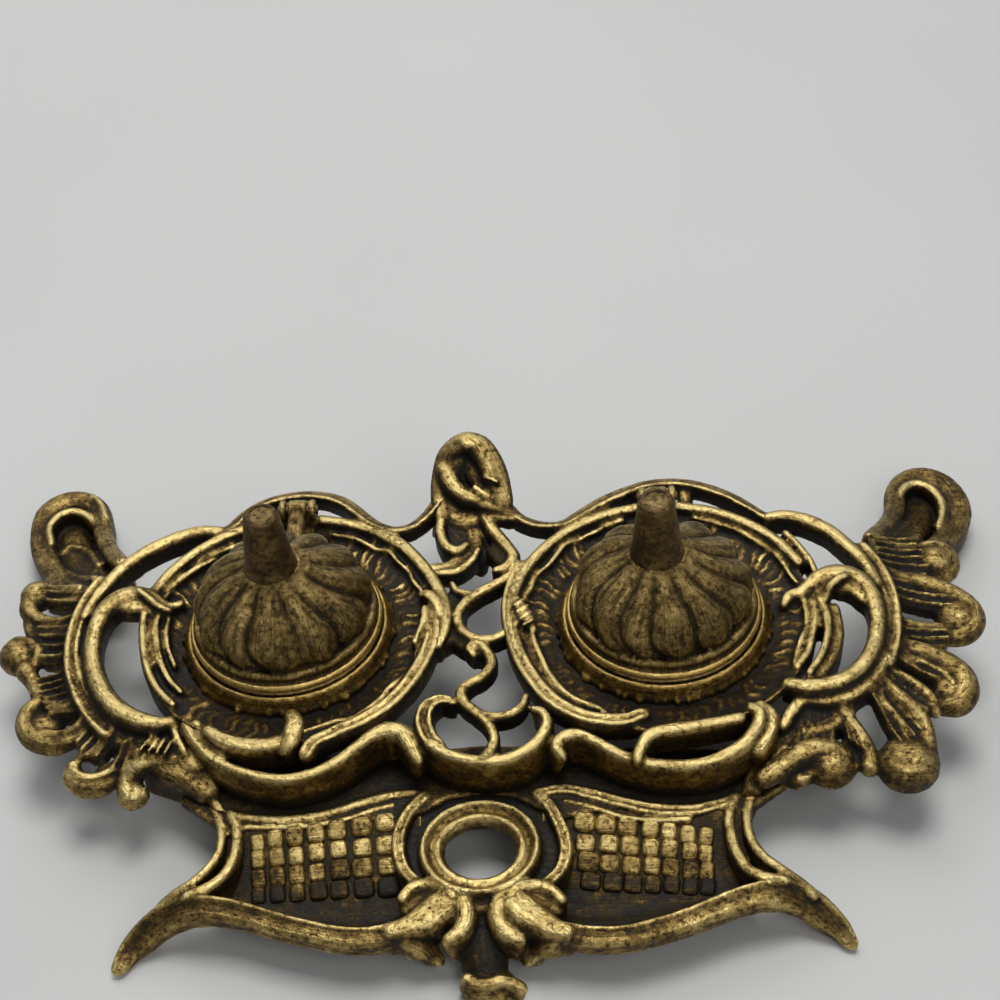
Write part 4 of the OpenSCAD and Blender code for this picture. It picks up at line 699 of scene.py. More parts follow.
def cast(name, parts, box_of, grain=GRAIN, lump=0.16, room=(0.6, 1.6, 1.2)):
    """Joins the parts into one skin, as metal runs together in the mould, and leaves it a little lumpy.
    The skin may pass the solid's box by the room, in millimetres."""
    lump_across = 2.2
    verts, faces, notes, tones = [], [], [], []
    for v, f, n, top, wall in parts:
        start = len(verts)
        verts.extend(v)
        notes.extend(n)
        faces.extend(tuple(start + i for i in face) for face in f)
        tones.extend([(top, wall)] * len(f))
    room_before = [0.6, 0.6, 0]
    low, high = (np.array(c) * 1000 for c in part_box(box_of))
    verts = np.clip(np.array(verts), low - room_before, high + room)
    rough = bpy.data.meshes.new(name + "_rough")
    rough.from_pydata((verts / 1000).tolist(), [], faces)
    rough.update()
    b = bmesh.new()
    b.from_mesh(rough)
    bmesh.ops.recalc_face_normals(b, faces=b.faces)
    b.to_mesh(rough)
    b.free()
    work = bpy.data.objects.new(name + "_work", rough)
    bpy.context.collection.objects.link(work)
    skin = work.modifiers.new("skin", "REMESH")
    skin.mode = "VOXEL"
    skin.voxel_size = grain / 1000
    skin.use_smooth_shade = True
    ease = work.modifiers.new("ease", "SMOOTH")
    ease.factor = 0.5
    ease.iterations = 2
    uneven = bpy.data.textures.new(name + "_uneven", "CLOUDS")
    uneven.noise_scale = lump_across / 1000
    lumps = work.modifiers.new("lumps", "DISPLACE")
    lumps.texture = uneven
    lumps.texture_coords = "LOCAL"
    lumps.strength = lump / 1000
    lumps.mid_level = 0.5
    done = bpy.data.meshes.new_from_object(work.evaluated_get(bpy.context.evaluated_depsgraph_get()))
    bpy.data.objects.remove(work)
    done.name = name
    piece = bpy.data.objects.new(name, done)
    bpy.context.collection.objects.link(piece)
    # each point takes its tone and its place along the scroll from the nearest face of the rough parts
    nearest = BVHTree.FromPolygons((verts / 1000).tolist(), faces)
    hits = [nearest.find_nearest(v.co) for v in done.vertices]
    which = np.array([hit[2] for hit in hits])
    spot = np.array([hit[0][:] for hit in hits]) * 1000
    corners = np.array([(face * 2)[:4] for face in faces])[which]
    weight = 1 / (np.linalg.norm(verts[corners] - spot[:, None], axis=2) + 0.05) ** 2
    weight /= weight.sum(1)[:, None]
    note = (np.array(notes)[corners] * weight[..., None]).sum(1)
    for k, key in enumerate(("run", "cross")):
        layer = done.attributes.new(key, "FLOAT", "POINT")
        layer.data.foreach_set("value", note[:, k].astype(np.float32))
    return piece, np.array(tones)[which] + note[:, 2:3]


def age(piece, tone, near=6, far=60, fine_gain=1.5, broad_gain=0.2, darken_below=None):
    """Stores how dark each point is: from its part's tone; from how deep it lies against the skin around it,
    finely and broadly, which gives tarnish in the hollows and painted shade there too; and from how far it
    faces away from straight up, tops lighter from polish and as painted light, walls darker as painted
    shade.
    Below a given height the points are darker towards the bottom."""
    mesh = piece.data
    count = len(mesh.vertices)
    at = np.empty(count * 3)
    mesh.vertices.foreach_get("co", at)
    at = at.reshape(-1, 3) * 1000
    normal = np.empty(count * 3)
    mesh.vertices.foreach_get("normal", normal)
    normal = normal.reshape(-1, 3)
    edge = np.empty(len(mesh.edges) * 2, int)
    mesh.edges.foreach_get("vertices", edge)
    a, b = edge.reshape(-1, 2).T
    links = np.maximum(np.bincount(a, minlength=count) + np.bincount(b, minlength=count), 1)

    def spread(values, times):
        """Evens values out over the skin, from each point to its neighbours."""
        for _ in range(times):
            mean = np.empty_like(values)
            for k in range(values.shape[1]):
                total = np.bincount(a, values[b, k], count) + np.bincount(b, values[a, k], count)
                mean[:, k] = total / links
            values = 0.3 * values + 0.7 * mean
        return values

    # depth against the surrounding skin: tarnish in the hollows and painted shade in them as well
    once = spread(at, near)
    fine = ((once - at) * normal).sum(1)
    broad = ((spread(once, far - near) - at) * normal).sum(1)
    # facing up takes the top tone, facing sideways the wall tone: polish, painted light on the tops and
    # painted shade on the walls
    up = np.clip((normal[:, 2] - 0.45) / 0.45, 0, 1)
    tone = spread(np.asarray(tone, float).reshape(count, -1), 3)
    base = tone[:, 0] * up + tone[:, -1] * (1 - up)
    value = base + np.clip(fine * fine_gain, -0.45, 0.6) + np.clip(broad * broad_gain, -0.3, 0.45)
    # below the given height, each point is darker towards the bottom
    if darken_below is not None:
        value += 0.6 * np.clip((darken_below - at[:, 2]) / 2.5, 0, 1)
    # the darkness each point keeps: tarnish and polish, with painted shade in the hollows and on the walls
    # and painted light on the tops
    for key, amount in (("patina_and_shade", value), ("cranny", fine)):
        layer = mesh.attributes.new(key, "FLOAT", "POINT")
        layer.data.foreach_set("value", amount.astype(np.float32))


def wire(tree, kind, **values):
    """A new node with its inputs set or linked, by name or, as i0, i1 and so on, by number."""
    node = tree.nodes.new(kind)
    for key, value in values.items():
        if key in ("operation", "attribute_name", "data_type", "axis", "pivot_axis"):
            setattr(node, key, value)
            continue
        numbered = key[0] == "i" and key[1:].isdigit()
        socket = node.inputs[int(key[1:])] if numbered else node.inputs[key]
        if isinstance(value, bpy.types.NodeSocket):
            tree.links.new(value, socket)
        else:
            socket.default_value = value
    return node


def reckon(tree, operation, *values):
    """One step of arithmetic."""
    numbered = {f"i{k}": value for k, value in enumerate(values)}
    return wire(tree, "ShaderNodeMath", operation=operation, **numbered).outputs[0]


def patches(tree, place, scale, detail=2.0, rough=0.5):
    """Uneven patches with no edge. The scale is about how many lie side by side in a metre."""
    noise = wire(tree, "ShaderNodeTexNoise", Vector=place, Scale=scale, Detail=detail, Roughness=rough)
    return noise.outputs["Fac"]


def ramp(tree, fac, stops):
    """A colour ramp from positions and colours or greys."""
    node = tree.nodes.new("ShaderNodeValToRGB")
    tree.links.new(fac, node.inputs[0])
    bar = node.color_ramp
    while len(bar.elements) < len(stops):
        bar.elements.new(0.5)
    for e, (pos, c) in zip(bar.elements, stops):
        e.position = pos
        e.color = (*c, 1) if isinstance(c, tuple) else (c, c, c, 1)
    return node.outputs[0]


def old_brass(name, high, mid, low, residue=0.0, shine=0.29, bias=0.0, pits=0.5, plain=0.0, streaks=0.9):
    """Antique brass: polished where it stands out, brown on the slopes and near black in the hollows, as
    dark as each point's stored darkness, which is tarnish and also painted shade; with polishing marks along
    each scroll, small pits and, with residue, old polish left whitish in the nooks."""
    mat = bpy.data.materials.new(name)
    mat.use_nodes = True
    tree = mat.node_tree
    tree.nodes.clear()
    place = tree.nodes.new("ShaderNodeTexCoord").outputs["Object"]
    # how dark each point is, which holds painted shade and painted light as well as tarnish and polish
    deep = wire(tree, "ShaderNodeAttribute", attribute_name="patina_and_shade").outputs["Fac"]
    run = wire(tree, "ShaderNodeAttribute", attribute_name="run").outputs["Fac"]
    cross = wire(tree, "ShaderNodeAttribute", attribute_name="cross").outputs["Fac"]
    # marks several times longer than wide
    run = reckon(tree, "MULTIPLY", run, 0.16)
    cross = reckon(tree, "MULTIPLY", cross, 2.0)
    streak = patches(tree, wire(tree, "ShaderNodeCombineXYZ", X=run, Y=cross).outputs[0], 1.0, 4.0, 0.65)
    cloud = patches(tree, place, 190.0, 5.0, 0.65)
    speck = ramp(tree, patches(tree, place, 900.0, 4.0, 0.65), [(0.3, 0.0), (0.54, 0.3), (0.66, 1.0)])
    deep = reckon(tree, "MULTIPLY_ADD", cloud, 1.3, deep)
    deep = reckon(tree, "MULTIPLY_ADD", speck, 0.5, deep)
    deep = reckon(tree, "MULTIPLY_ADD", streak, streaks, deep)
    # takes off what the patches add on average
    level = 0.15 + bias - 0.6 * (0.65 + 0.13 + 0.5 * streaks - plain)
    deep = reckon(tree, "MULTIPLY_ADD", deep, 0.6, level)
    colour = ramp(tree, deep, [(0.10, high), (0.26, mid), (0.42, low), (0.56, (0.052, 0.035, 0.016)),
                               (0.72, (0.019, 0.016, 0.012))])
    rough = ramp(tree, deep, [(0.12, shine), (0.3, shine + 0.1), (0.5, 0.5), (0.7, 0.52)])
    metal = ramp(tree, deep, [(0.35, 1.0), (0.55, 0.9), (0.72, 0.6)])
    grain = patches(tree, place, 2600.0, 2.0, 0.5)
    scuff = patches(tree, place, 520.0, 5.0, 0.7)
    height = reckon(tree, "MULTIPLY_ADD", scuff, 2.0, grain)
    height = reckon(tree, "MULTIPLY_ADD", streak, 1.6, height)
    height = reckon(tree, "MULTIPLY_ADD", speck, -0.6, height)
    bump = wire(tree, "ShaderNodeBump", Strength=pits, Distance=0.0002, Height=height).outputs[0]
    if residue > 0:
        cranny = wire(tree, "ShaderNodeAttribute", attribute_name="cranny").outputs["Fac"]
        patch = patches(tree, place, 420.0, 5.0, 0.75)
        area = patches(tree, place, 30.0, 1.0)
        white = reckon(tree, "MULTIPLY_ADD", area, 0.9, patch)
        white = reckon(tree, "MULTIPLY_ADD", cranny, 0.9, white)
        white = ramp(tree, white, [(1.22 - residue * 0.2, 0.0), (1.28 - residue * 0.2, 0.75)])
        chalk = (0.34, 0.34, 0.32, 1)
        colour = wire(tree, "ShaderNodeMix", data_type="RGBA", i0=white, i6=colour, i7=chalk).outputs[2]
        metal = reckon(tree, "MULTIPLY", metal, reckon(tree, "SUBTRACT", 1.0, white))
        rough = reckon(tree, "MAXIMUM", rough, white)
    shader = wire(tree, "ShaderNodeBsdfPrincipled", Roughness=rough, Metallic=metal, Normal=bump)
    tree.links.new(colour, shader.inputs["Base Color"])
    tree.links.new(shader.outputs[0], tree.nodes.new("ShaderNodeOutputMaterial").inputs[0])
    return mat


def plated(thing, metal):
    """Gives a piece its metal in place of any other."""
    thing.data.materials.clear()
    thing.data.materials.append(metal)


GOLD, BRONZE, BROWN = (0.68, 0.53, 0.22), (0.40, 0.28, 0.095), (0.16, 0.1, 0.033)
# the height below which the middle casting is made darker towards the bottom
DARKEN_BELOW = 16.5
cast_brass = old_brass("cast_brass", GOLD, BRONZE, BROWN, residue=0.5, bias=0.03, pits=0.6)
# the two sides are large, so they keep a little less
GALLERY = [("gallery_left", left_parts, 0.51), ("gallery_right", right_parts, 0.52),
           ("gallery_middle", middle_parts, GRAIN)]
for name, parts, grain in GALLERY:
    piece, tone = cast(name, parts, "gallery", grain)
    age(piece, tone, darken_below=DARKEN_BELOW if name == "gallery_middle" else None)
    plated(piece, cast_brass)
    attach(piece, "stand")
    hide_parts("gallery")

# the feet around the wells, a redder brass
foot_brass = old_brass("foot_brass", (0.66, 0.46, 0.15), (0.40, 0.25, 0.065), (0.16, 0.09, 0.02), shine=0.3,
                       pits=0.6)
for label, side in (("left", -1), ("right", 1)):
    parts = wear_and_shade(0.22, 0.4, [ragged_foot(side)])
    piece, tone = cast(f"{label}_foot", parts, "gallery", grain=0.36, lump=0.1)
    age(piece, tone)
    plated(piece, foot_brass)
    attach(piece, "stand")
    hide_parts("gallery")

# ---------------------------------------------------------------- the pen tray
# The second casting: two curved bowls for pens with a checked ground, an open ring in the middle, a rolled
# lip and two horns that reach the table. The gallery's front walls stand on its back edge.

RING_Y = -44.5
SHELF = 13.0


def turned(profile, centre, around=96, tilt=0.0):
    """A closed ring or cup from a closed profile of radius and height."""
    verts, faces, notes = [], [], []
    m = len(profile)
    for k in range(around):
        a = 2 * math.pi * k / around
        for j, (r, z) in enumerate(profile):
            rise = z - tilt * r * math.sin(a)
            verts.append(np.array([centre[0] + r * math.cos(a), centre[1] + r * math.sin(a), rise]))
            notes.append((abs(a - math.pi) * 11, r + z, 0.0))
    for k in range(around):
        for j in range(m):
            a, b = k * m + j, k * m + (j + 1) % m
            c, d = (k + 1) % around * m + j, (k + 1) % around * m + (j + 1) % m
            faces.append((a, c, d, b))
    return verts, faces, notes


def slab(outline, top, thick):
    """A flat plate from an outline in millimetres."""
    n = len(outline)
    verts = [np.array([x, y, z]) for z in (top, top - thick) for x, y in outline]
    faces = [tuple(range(n)), tuple(range(2 * n - 1, n - 1, -1))]
    faces += [(i, n + i, n + (i + 1) % n, (i + 1) % n) for i in range(n)]
    return verts, faces


def ring_plate():
    """Sunk plate around the ring, with the hole through it."""
    around, hole, half_width, half_depth, top, thick = 48, 9.4, 18, 17, 11.4, 3.0
    inner, outer = [], []
    for k in range(around):
        a = 2 * math.pi * k / around
        inner.append((hole * math.cos(a), RING_Y + hole * math.sin(a)))
        outer.append((half_width * math.cos(a), RING_Y - 0.5 + half_depth * math.sin(a)))
    verts = [np.array([x, y, z]) for z in (top, top - thick) for loop in (inner, outer) for x, y in loop]
    faces = []
    low = 2 * around
    for k in range(around):
        n = (k + 1) % around
        faces += [(k, around + k, around + n, n), (low + k, low + n, low + around + n, low + around + k),
                  (k, n, low + n, low + k), (around + k, low + around + k, low + around + n, around + n)]
    return verts, faces


tray_parts = wear_and_shade(0.05, 0.4, [
    # the ring, a little higher towards the front
    turned([(8.9, 10.2), (7.7, 11.6), (7.4, 12.6), (8.1, 13.5), (8.8, 14.2), (9.6, 13.9), (10.3, 13.3),
            (10.9, 13.9), (11.6, 14.9), (12.3, 15.1), (12.8, 14.4), (13.0, 12.6), (13.0, 8), (9.4, 8)],
           (0, RING_Y), tilt=0.06),
]) + wear_and_shade(0.75, 0.85, [
    # the shelf, dark, which reaches back under the front walls so the slots above it show black: partly
    # painted shade
    ring_plate(),
    slab([(-64, -20), (-66, -29), (-57, -36), (-44, -36), (-30, -34.6), (-17, -36.5), (-12.5, -34),
          (-7, -30.4), (0, -29.2), (7, -30.4), (12.5, -34), (17, -36.5), (30, -34.6), (44, -36), (57, -36),
          (66, -29), (64, -20), (40, -18), (0, -16), (-40, -18)], SHELF, 2.4),
]) + wear_and_shade(0.36, 0.5, [
    # left lip, running out into the horn
    stroke("rlip", 6, [(398, 925, 14.6, 3.8), (372, 932, 14.6, 4), (340, 932, 14.6, 4),
                       (308, 926, 14.6, 4), (278, 919, 14.6, 4.2), (248, 910, 14.6, 4.4),
                       (222, 904, 14.6, 4.8), (200, 902, 14.4, 5.2), (180, 904, 13, 5.8),
                       (160, 913, 10.6, 6.2), (142, 928, 8, 5.8), (127, 946, 5.4, 4.6),
                       (116, 967, 3.2, 3.2)]),
    # right lip and horn
    stroke("lip", 6, [(560, 926, 14.6, 3.8), (588, 931, 14.6, 4), (622, 931, 14.6, 4), (655, 924, 14.6, 4),
                      (688, 914, 14.6, 4.2), (718, 902, 14.6, 4.4), (745, 892, 14.6, 4.8),
                      (768, 887, 14.4, 5.2), (790, 887, 13, 5.8), (810, 895, 10.6, 6.2),
                      (828, 909, 8, 5.8), (843, 925, 5.4, 4.6), (853, 941, 3.2, 3.2)]),
]) + wear_and_shade(0.15, 0.6, [
    # side borders
    stroke("bead", 7, [(231, 812, 13.8, 2.6), (236, 826, 13.8, 2.8), (236, 842, 13.8, 2.8),
                       (232, 858, 13.8, 2.8), (222, 874, 14, 2.8), (205, 886, 14.2, 3),
                       (186, 894, 13.8, 3)]),
    stroke("bead", 7, [(214, 806, 13.4, 2.4), (221, 826, 13.4, 2.4), (219, 848, 13.4, 2.2),
                       (208, 865, 13.6, 2.2), (192, 880, 13.4, 2.4), (174, 892, 12.4, 2.6),
                       (160, 904, 10.8, 3)]),
    stroke("bead", 7, [(735, 795, 13.8, 2.6), (729, 812, 13.8, 2.8), (731, 832, 13.8, 2.8),
                       (737, 850, 13.8, 2.8), (748, 866, 14, 2.8), (765, 874, 14.2, 3),
                       (785, 878, 13.6, 3)]),
    stroke("bead", 7, [(755, 785, 13.6, 2.6), (748, 802, 13.4, 2.6), (747, 820, 13.4, 2.4),
                       (752, 838, 13.4, 2.4), (764, 854, 13.6, 2.4), (782, 867, 13, 2.4),
                       (800, 880, 11.6, 3), (814, 892, 10.4, 3)]),
    # borders on both sides of the ring
    stroke("twin", 6, [(424, 794, 13.8, 2.6), (410, 808, 14, 3), (400, 828, 14, 3.2), (398, 848, 14, 3.2),
                       (404, 868, 14, 3), (418, 882, 14.2, 2.8)]),
    stroke("twin", 6, [(537, 791, 13.8, 2.4), (551, 806, 14, 3), (562, 828, 14, 3.2), (566, 848, 14, 3.2),
                       (560, 868, 14, 3), (546, 882, 14.2, 2.8)]),
    # back edge
    stroke("bead", 5, [(236, 814, 13.8, 1.8), (262, 817, 13.8, 2.2), (292, 817, 13.8, 2.4),
                       (325, 812, 13.8, 2.4), (358, 802, 13.8, 2.4), (388, 794, 13.8, 2.4),
                       (414, 791, 13.8, 2)]),
    stroke("bead", 5, [(246, 826, 13.4, 1.2), (280, 826, 13.3, 1.3), (312, 824, 13.4, 1.4),
                       (345, 818, 13.3, 1.2), (372, 809, 13.4, 1.3), (392, 804, 13.4, 1.1)]),
    stroke("twin", 5, [(540, 791, 13.8, 2.4), (562, 787, 13.8, 2.6), (590, 792, 13.8, 3),
                       (620, 800, 13.8, 3.2), (655, 807, 13.8, 3.4), (690, 808, 13.8, 3.2),
                       (716, 803, 13.8, 2.8), (733, 797, 13.8, 2.2)]),
    stroke("bead", 5, [(566, 800, 13.4, 1.2), (592, 806, 13.3, 1.3), (622, 815, 13.4, 1.3),
                       (655, 819, 13.3, 1.2), (690, 818, 13.4, 1.2)]),
]) + wear_and_shade(0.12, 0.5, [
    # scrolls in the middle of the front
    stroke("soft", 8, [(390, 928, 14.8, 3.4), (412, 920, 15, 5.6), (430, 909, 15.2, 7.6),
                       (443, 898, 15.4, 8), (449, 888, 15, 5.6)]),
    stroke("bead", 8, [(450, 892, 15.4, 3.6), (441, 883, 15.2, 3.6), (425, 881, 14.8, 3.4),
                       (411, 885, 14.6, 3), (402, 895, 14.4, 2.8)]),
    stroke("bead", 8, [(455, 888, 15, 3.4), (463, 899, 15, 4.8), (465, 914, 14.6, 4.8),
                       (459, 927, 14, 4.4), (448, 936, 13.4, 3.4)]),
    stroke("soft", 8, [(566, 929, 14.8, 3.4), (548, 921, 15, 5.6), (530, 910, 15.2, 7.6),
                       (518, 900, 15.4, 8), (512, 889, 15, 5.6)]),
    stroke("bead", 8, [(511, 893, 15.4, 3.6), (520, 884, 15.2, 3.6), (536, 882, 14.8, 3.4),
                       (550, 886, 14.6, 3), (561, 896, 14.4, 2.8)]),
    stroke("bead", 8, [(506, 889, 15, 3.4), (498, 901, 15, 4.8), (498, 915, 14.6, 4.8),
                       (506, 928, 14, 4.4), (519, 935, 13.4, 3.4)]),
]) + wear_and_shade(0.3, 0.5, [
    # filling behind the scrolls
    stroke("soft", 7, [(410, 903, 13.2, 5), (424, 899, 13.6, 6), (436, 892, 13.8, 5)]),
    stroke("soft", 7, [(552, 904, 13.2, 5), (539, 900, 13.6, 6), (526, 893, 13.8, 5)]),
]) + wear_and_shade(0.85, 0.9, [
    # dark stem under the scrolls, down to the table
    stroke("bead", 7, [(482, 898, 12.6, 7), (482, 915, 11.8, 8), (482, 940, 10, 9), (486, 962, 8, 10)]),
]) + wear_and_shade(0.3, 0.36, [
    # leaves beside the stem and the drop at its foot
    stroke("soft", 5, [(412, 936, 12.4, 4), (424, 942, 10.6, 5.4), (433, 949, 8.6, 5),
                       (440, 957, 6.8, 3.4)]),
    stroke("soft", 5, [(551, 935, 12.4, 4), (540, 941, 10.6, 5.4), (532, 948, 8.6, 5),
                       (526, 957, 6.8, 3.4)]),
    stroke("bead", 5, [(470, 903, 13.8, 2), (481, 906, 13.4, 2.6), (492, 903, 13.8, 2)]),
    stroke("bead", 6, [(468, 976, 8, 2.8), (477, 981, 7.6, 3.2), (488, 981, 7.8, 3), (500, 978, 8, 3.2),
                       (512, 980, 7.6, 3.2), (522, 985, 7, 2.8)]),
    ball([0.6, -72.2, 3.0], 4.6, 0.9),
    ball([3.6, -72.0, 2.8], 4.4, 0.9),
])
tray_brass = old_brass("tray_brass", GOLD, BRONZE, BROWN, residue=0.9, bias=0.03, pits=0.6)
piece, tone = cast("tray_frame", tray_parts, "pen_tray")
age(piece, tone)
plated(piece, tray_brass)
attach(piece, "stand")
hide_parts("pen_tray")

# where the bowl's columns lie: distance from the middle, back edge and front edge
BOWL_COLUMNS = [(13, -31.4, -60), (20, -31.8, -65), (30, -33.6, -64.9), (40, -34.8, -62.2),
                (48, -35.4, -59.4), (56.5, -35.6, -57.4)]
# how far the bowl's floor lies below the shelf, by the share of the way from back to front
BOWL_DROP = [(0, 0), (0.12, -1.0), (0.3, -2.9), (0.5, -5), (0.68, -5.8), (0.84, -4.8), (1, -0.8)]


def bowl(side):
    """Curved pen bowl, dull and dark inside. It keeps how dark each point is."""
    across, along, thick = 160, 90, 2.0
    cols = smooth_path(BOWL_COLUMNS, 20)
    drop = smooth_path(BOWL_DROP, 12)
    s_at = np.linspace(0, 1, len(cols))
    verts, dark = [], []
    for layer in range(2):
        for i in range(across + 1):
            s = i / across
            x, back, front = (np.interp(s, s_at, cols[:, k]) for k in range(3))
            for j in range(along + 1):
                t = j / along
                front_half = min(1.0, max(0.0, (t - 0.55) / 0.1))
                fold = 0.12 * math.sin(46 * t + 3 * s) * math.sin(3.1 * s + 1) * front_half
                z = SHELF + np.interp(t, drop[:, 0], drop[:, 1]) + fold - thick * layer
                verts.append((side * x / 1000, (back + (front - back) * t) / 1000, z / 1000))
                dark.append(0.72 + 0.4 * fold)
    rows = along + 1
    low = (across + 1) * rows
    faces = []
    for i in range(across):
        for j in range(along):
            a, b, c, d = i * rows + j, i * rows + j + 1, (i + 1) * rows + j + 1, (i + 1) * rows + j
            faces.append((a, b, c, d))
            faces.append((low + a, low + d, low + c, low + b))
    for i in range(across):
        for j in (0, along):
            a, d = i * rows + j, (i + 1) * rows + j
            faces.append((a, d, low + d, low + a))
    for j in range(along):
        for i in (0, across):
            a, b = i * rows + j, i * rows + j + 1
            faces.append((a, b, low + b, low + a))
    mesh = bpy.data.meshes.new("bowl")
    mesh.from_pydata(verts, [], faces)
    b = bmesh.new()
    b.from_mesh(mesh)
    bmesh.ops.recalc_face_normals(b, faces=b.faces)
    b.to_mesh(mesh)
    b.free()
    mesh.attributes.new("dark", "FLOAT", "POINT").data.foreach_set("value", dark)
    return mesh


def squares_tree():
    """Lays rounded squares over a bowl in rows and slanting columns, darker towards the front."""
    tree = bpy.data.node_groups.new("raised_squares", "GeometryNodeTree")
    for label, kind in (("Bowl", "Geometry"), ("Metal", "Material"), ("Columns", "Int"), ("Rows", "Int"),
                        ("Corner", "Vector"), ("Along", "Vector"), ("Down", "Vector"), ("Spread", "Vector"),
                        ("Size", "Vector"), ("Taper", "Float"), ("Seed", "Int")):
        tree.interface.new_socket(label, in_out="INPUT", socket_type="NodeSocket" + kind)
    tree.interface.new_socket("Geometry", in_out="OUTPUT", socket_type="NodeSocketGeometry")
    given = tree.nodes.new("NodeGroupInput").outputs
    seed = given["Seed"]
    # one point for each square, its place a share of the way along and down
    grid = wire(tree, "GeometryNodeMeshGrid", i2=given["Columns"], i3=given["Rows"]).outputs[0]
    here = tree.nodes.new("GeometryNodeInputPosition").outputs[0]
    share = wire(tree, "ShaderNodeVectorMath", operation="ADD", i0=here, i1=(0.5, 0.5, 0)).outputs[0]
    even, t, _ = wire(tree, "ShaderNodeSeparateXYZ", i0=share).outputs
    # the columns stand closer at one end, by the taper, and the squares there are narrower
    left = reckon(tree, "SUBTRACT", 1.0, even)
    pull = reckon(tree, "MULTIPLY", left, given["Taper"])
    s = reckon(tree, "MULTIPLY_ADD", even, pull, even)
    lead = reckon(tree, "MULTIPLY_ADD", even, -2.0, 1.0)
    lead = reckon(tree, "MULTIPLY", lead, given["Taper"])
    width = reckon(tree, "MULTIPLY_ADD", lead, 1.1, 1.0)
    both = reckon(tree, "MULTIPLY", s, t)
    place = given["Corner"]
    for way, amount in (("Along", s), ("Down", t), ("Spread", both)):
        step = wire(tree, "ShaderNodeVectorMath", operation="SCALE", i0=given[way], Scale=amount).outputs[0]
        place = wire(tree, "ShaderNodeVectorMath", operation="ADD", i0=place, i1=step).outputs[0]
    stray = 0.0002
    shift = wire(tree, "FunctionNodeRandomValue", data_type="FLOAT_VECTOR", i0=(-stray, -stray, 0),
                 i1=(stray, stray, 0), Seed=seed).outputs[0]
    place = wire(tree, "ShaderNodeVectorMath", operation="ADD", i0=place, i1=shift).outputs[0]
    # darker towards the front, each by its own luck
    fade = reckon(tree, "POWER", t, 2.6)
    luck = wire(tree, "FunctionNodeRandomValue", data_type="FLOAT", i2=0.0, i3=0.4, Seed=seed).outputs[1]
    dull = reckon(tree, "MULTIPLY_ADD", fade, 0.62, luck)
    for key, value in (("dark", dull), ("width", width)):
        grid = wire(tree, "GeometryNodeStoreNamedAttribute", Geometry=grid, Name=key, Value=value).outputs[0]
    # each drops onto the bowl and leans with it
    above_it = (0, 0, 0.004)
    fall = {"i0": given["Bowl"], "Ray Length": 0.05}
    drop = wire(tree, "GeometryNodeRaycast", **fall, **{"Source Position": place})
    landed = drop.outputs["Hit Position"]
    grid = wire(tree, "GeometryNodeSetPosition", Geometry=grid, Position=landed).outputs[0]
    over = wire(tree, "ShaderNodeVectorMath", operation="ADD", i0=here, i1=above_it).outputs[0]
    lean = wire(tree, "GeometryNodeRaycast", **fall, **{"Source Position": over})
    slope = lean.outputs["Hit Normal"]
    upright = wire(tree, "FunctionNodeAlignRotationToVector", axis="Z", Vector=slope).outputs[0]
    facing = wire(tree, "FunctionNodeAlignRotationToVector", axis="X", pivot_axis="Z", Rotation=upright,
                  Vector=given["Along"]).outputs[0]
    # a block with rounded edges, a little larger or smaller each time
    block = wire(tree, "GeometryNodeMeshCube", i0=(1, 1, 1), i1=3, i2=3, i3=2).outputs[0]
    block = wire(tree, "GeometryNodeSubdivisionSurface", i0=block, i1=3).outputs[0]
    grow = wire(tree, "FunctionNodeRandomValue", data_type="FLOAT", i2=0.9, i3=1.06, Seed=seed).outputs[1]
    size = wire(tree, "ShaderNodeVectorMath", operation="SCALE", i0=given["Size"], Scale=grow).outputs[0]
    kept = wire(tree, "GeometryNodeInputNamedAttribute", Name="width").outputs[0]
    wider = wire(tree, "ShaderNodeCombineXYZ", i0=kept, i1=1.0, i2=1.0).outputs[0]
    size = wire(tree, "ShaderNodeVectorMath", operation="MULTIPLY", i0=size, i1=wider).outputs[0]
    laid = wire(tree, "GeometryNodeInstanceOnPoints", Points=grid, Instance=block, Rotation=facing,
                Scale=size).outputs[0]
    join = tree.nodes.new("GeometryNodeJoinGeometry")
    tree.links.new(laid, join.inputs[0])
    tree.links.new(given["Bowl"], join.inputs[0])
    smooth = wire(tree, "GeometryNodeSetShadeSmooth", i0=join.outputs[0]).outputs[0]
    real = wire(tree, "GeometryNodeRealizeInstances", i0=smooth).outputs[0]
    metal = wire(tree, "GeometryNodeSetMaterial", Geometry=real, Material=given["Metal"]).outputs[0]
    tree.links.new(metal, tree.nodes.new("NodeGroupOutput").inputs[0])
    return tree


def laid_out(piece, tree, corners, taper, seed):
    """Runs the tree on a bowl and leaves the result as its plain mesh."""
    a, b, c, d = (drawn(*p) / 1000 for p in corners)
    clear_of_bowl = np.array([0, 0, 0.01])
    values = {"Metal": tray_brass, "Columns": 7, "Rows": 4, "Corner": a + clear_of_bowl, "Along": b - a,
              "Down": c - a, "Spread": a + d - b - c, "Size": (0.0043, 0.0047, 0.0024), "Taper": taper,
              "Seed": seed}
    squares = piece.modifiers.new("squares", "NODES")
    squares.node_group = tree
    for item in tree.interface.items_tree:
        if item.in_out == "INPUT" and item.name in values:
            value = values[item.name]
            squares[item.identifier] = [float(x) for x in value] if hasattr(value, "__len__") else value
    done = bpy.data.meshes.new_from_object(piece.evaluated_get(bpy.context.evaluated_depsgraph_get()))
    piece.modifiers.remove(squares)
    piece.data = done
    done.name = piece.name
    count = len(done.vertices)
    at, dark = np.empty(count * 3), np.empty(count)
    done.vertices.foreach_get("co", at)
    done.attributes["dark"].data.foreach_get("value", dark)
    at = at.reshape(-1, 3) * 1000
    for key, amount in (("run", at[:, 0]), ("cross", at[:, 1] + at[:, 2])):
        done.attributes.new(key, "FLOAT", "POINT").data.foreach_set("value", amount.astype(np.float32))
    return dark


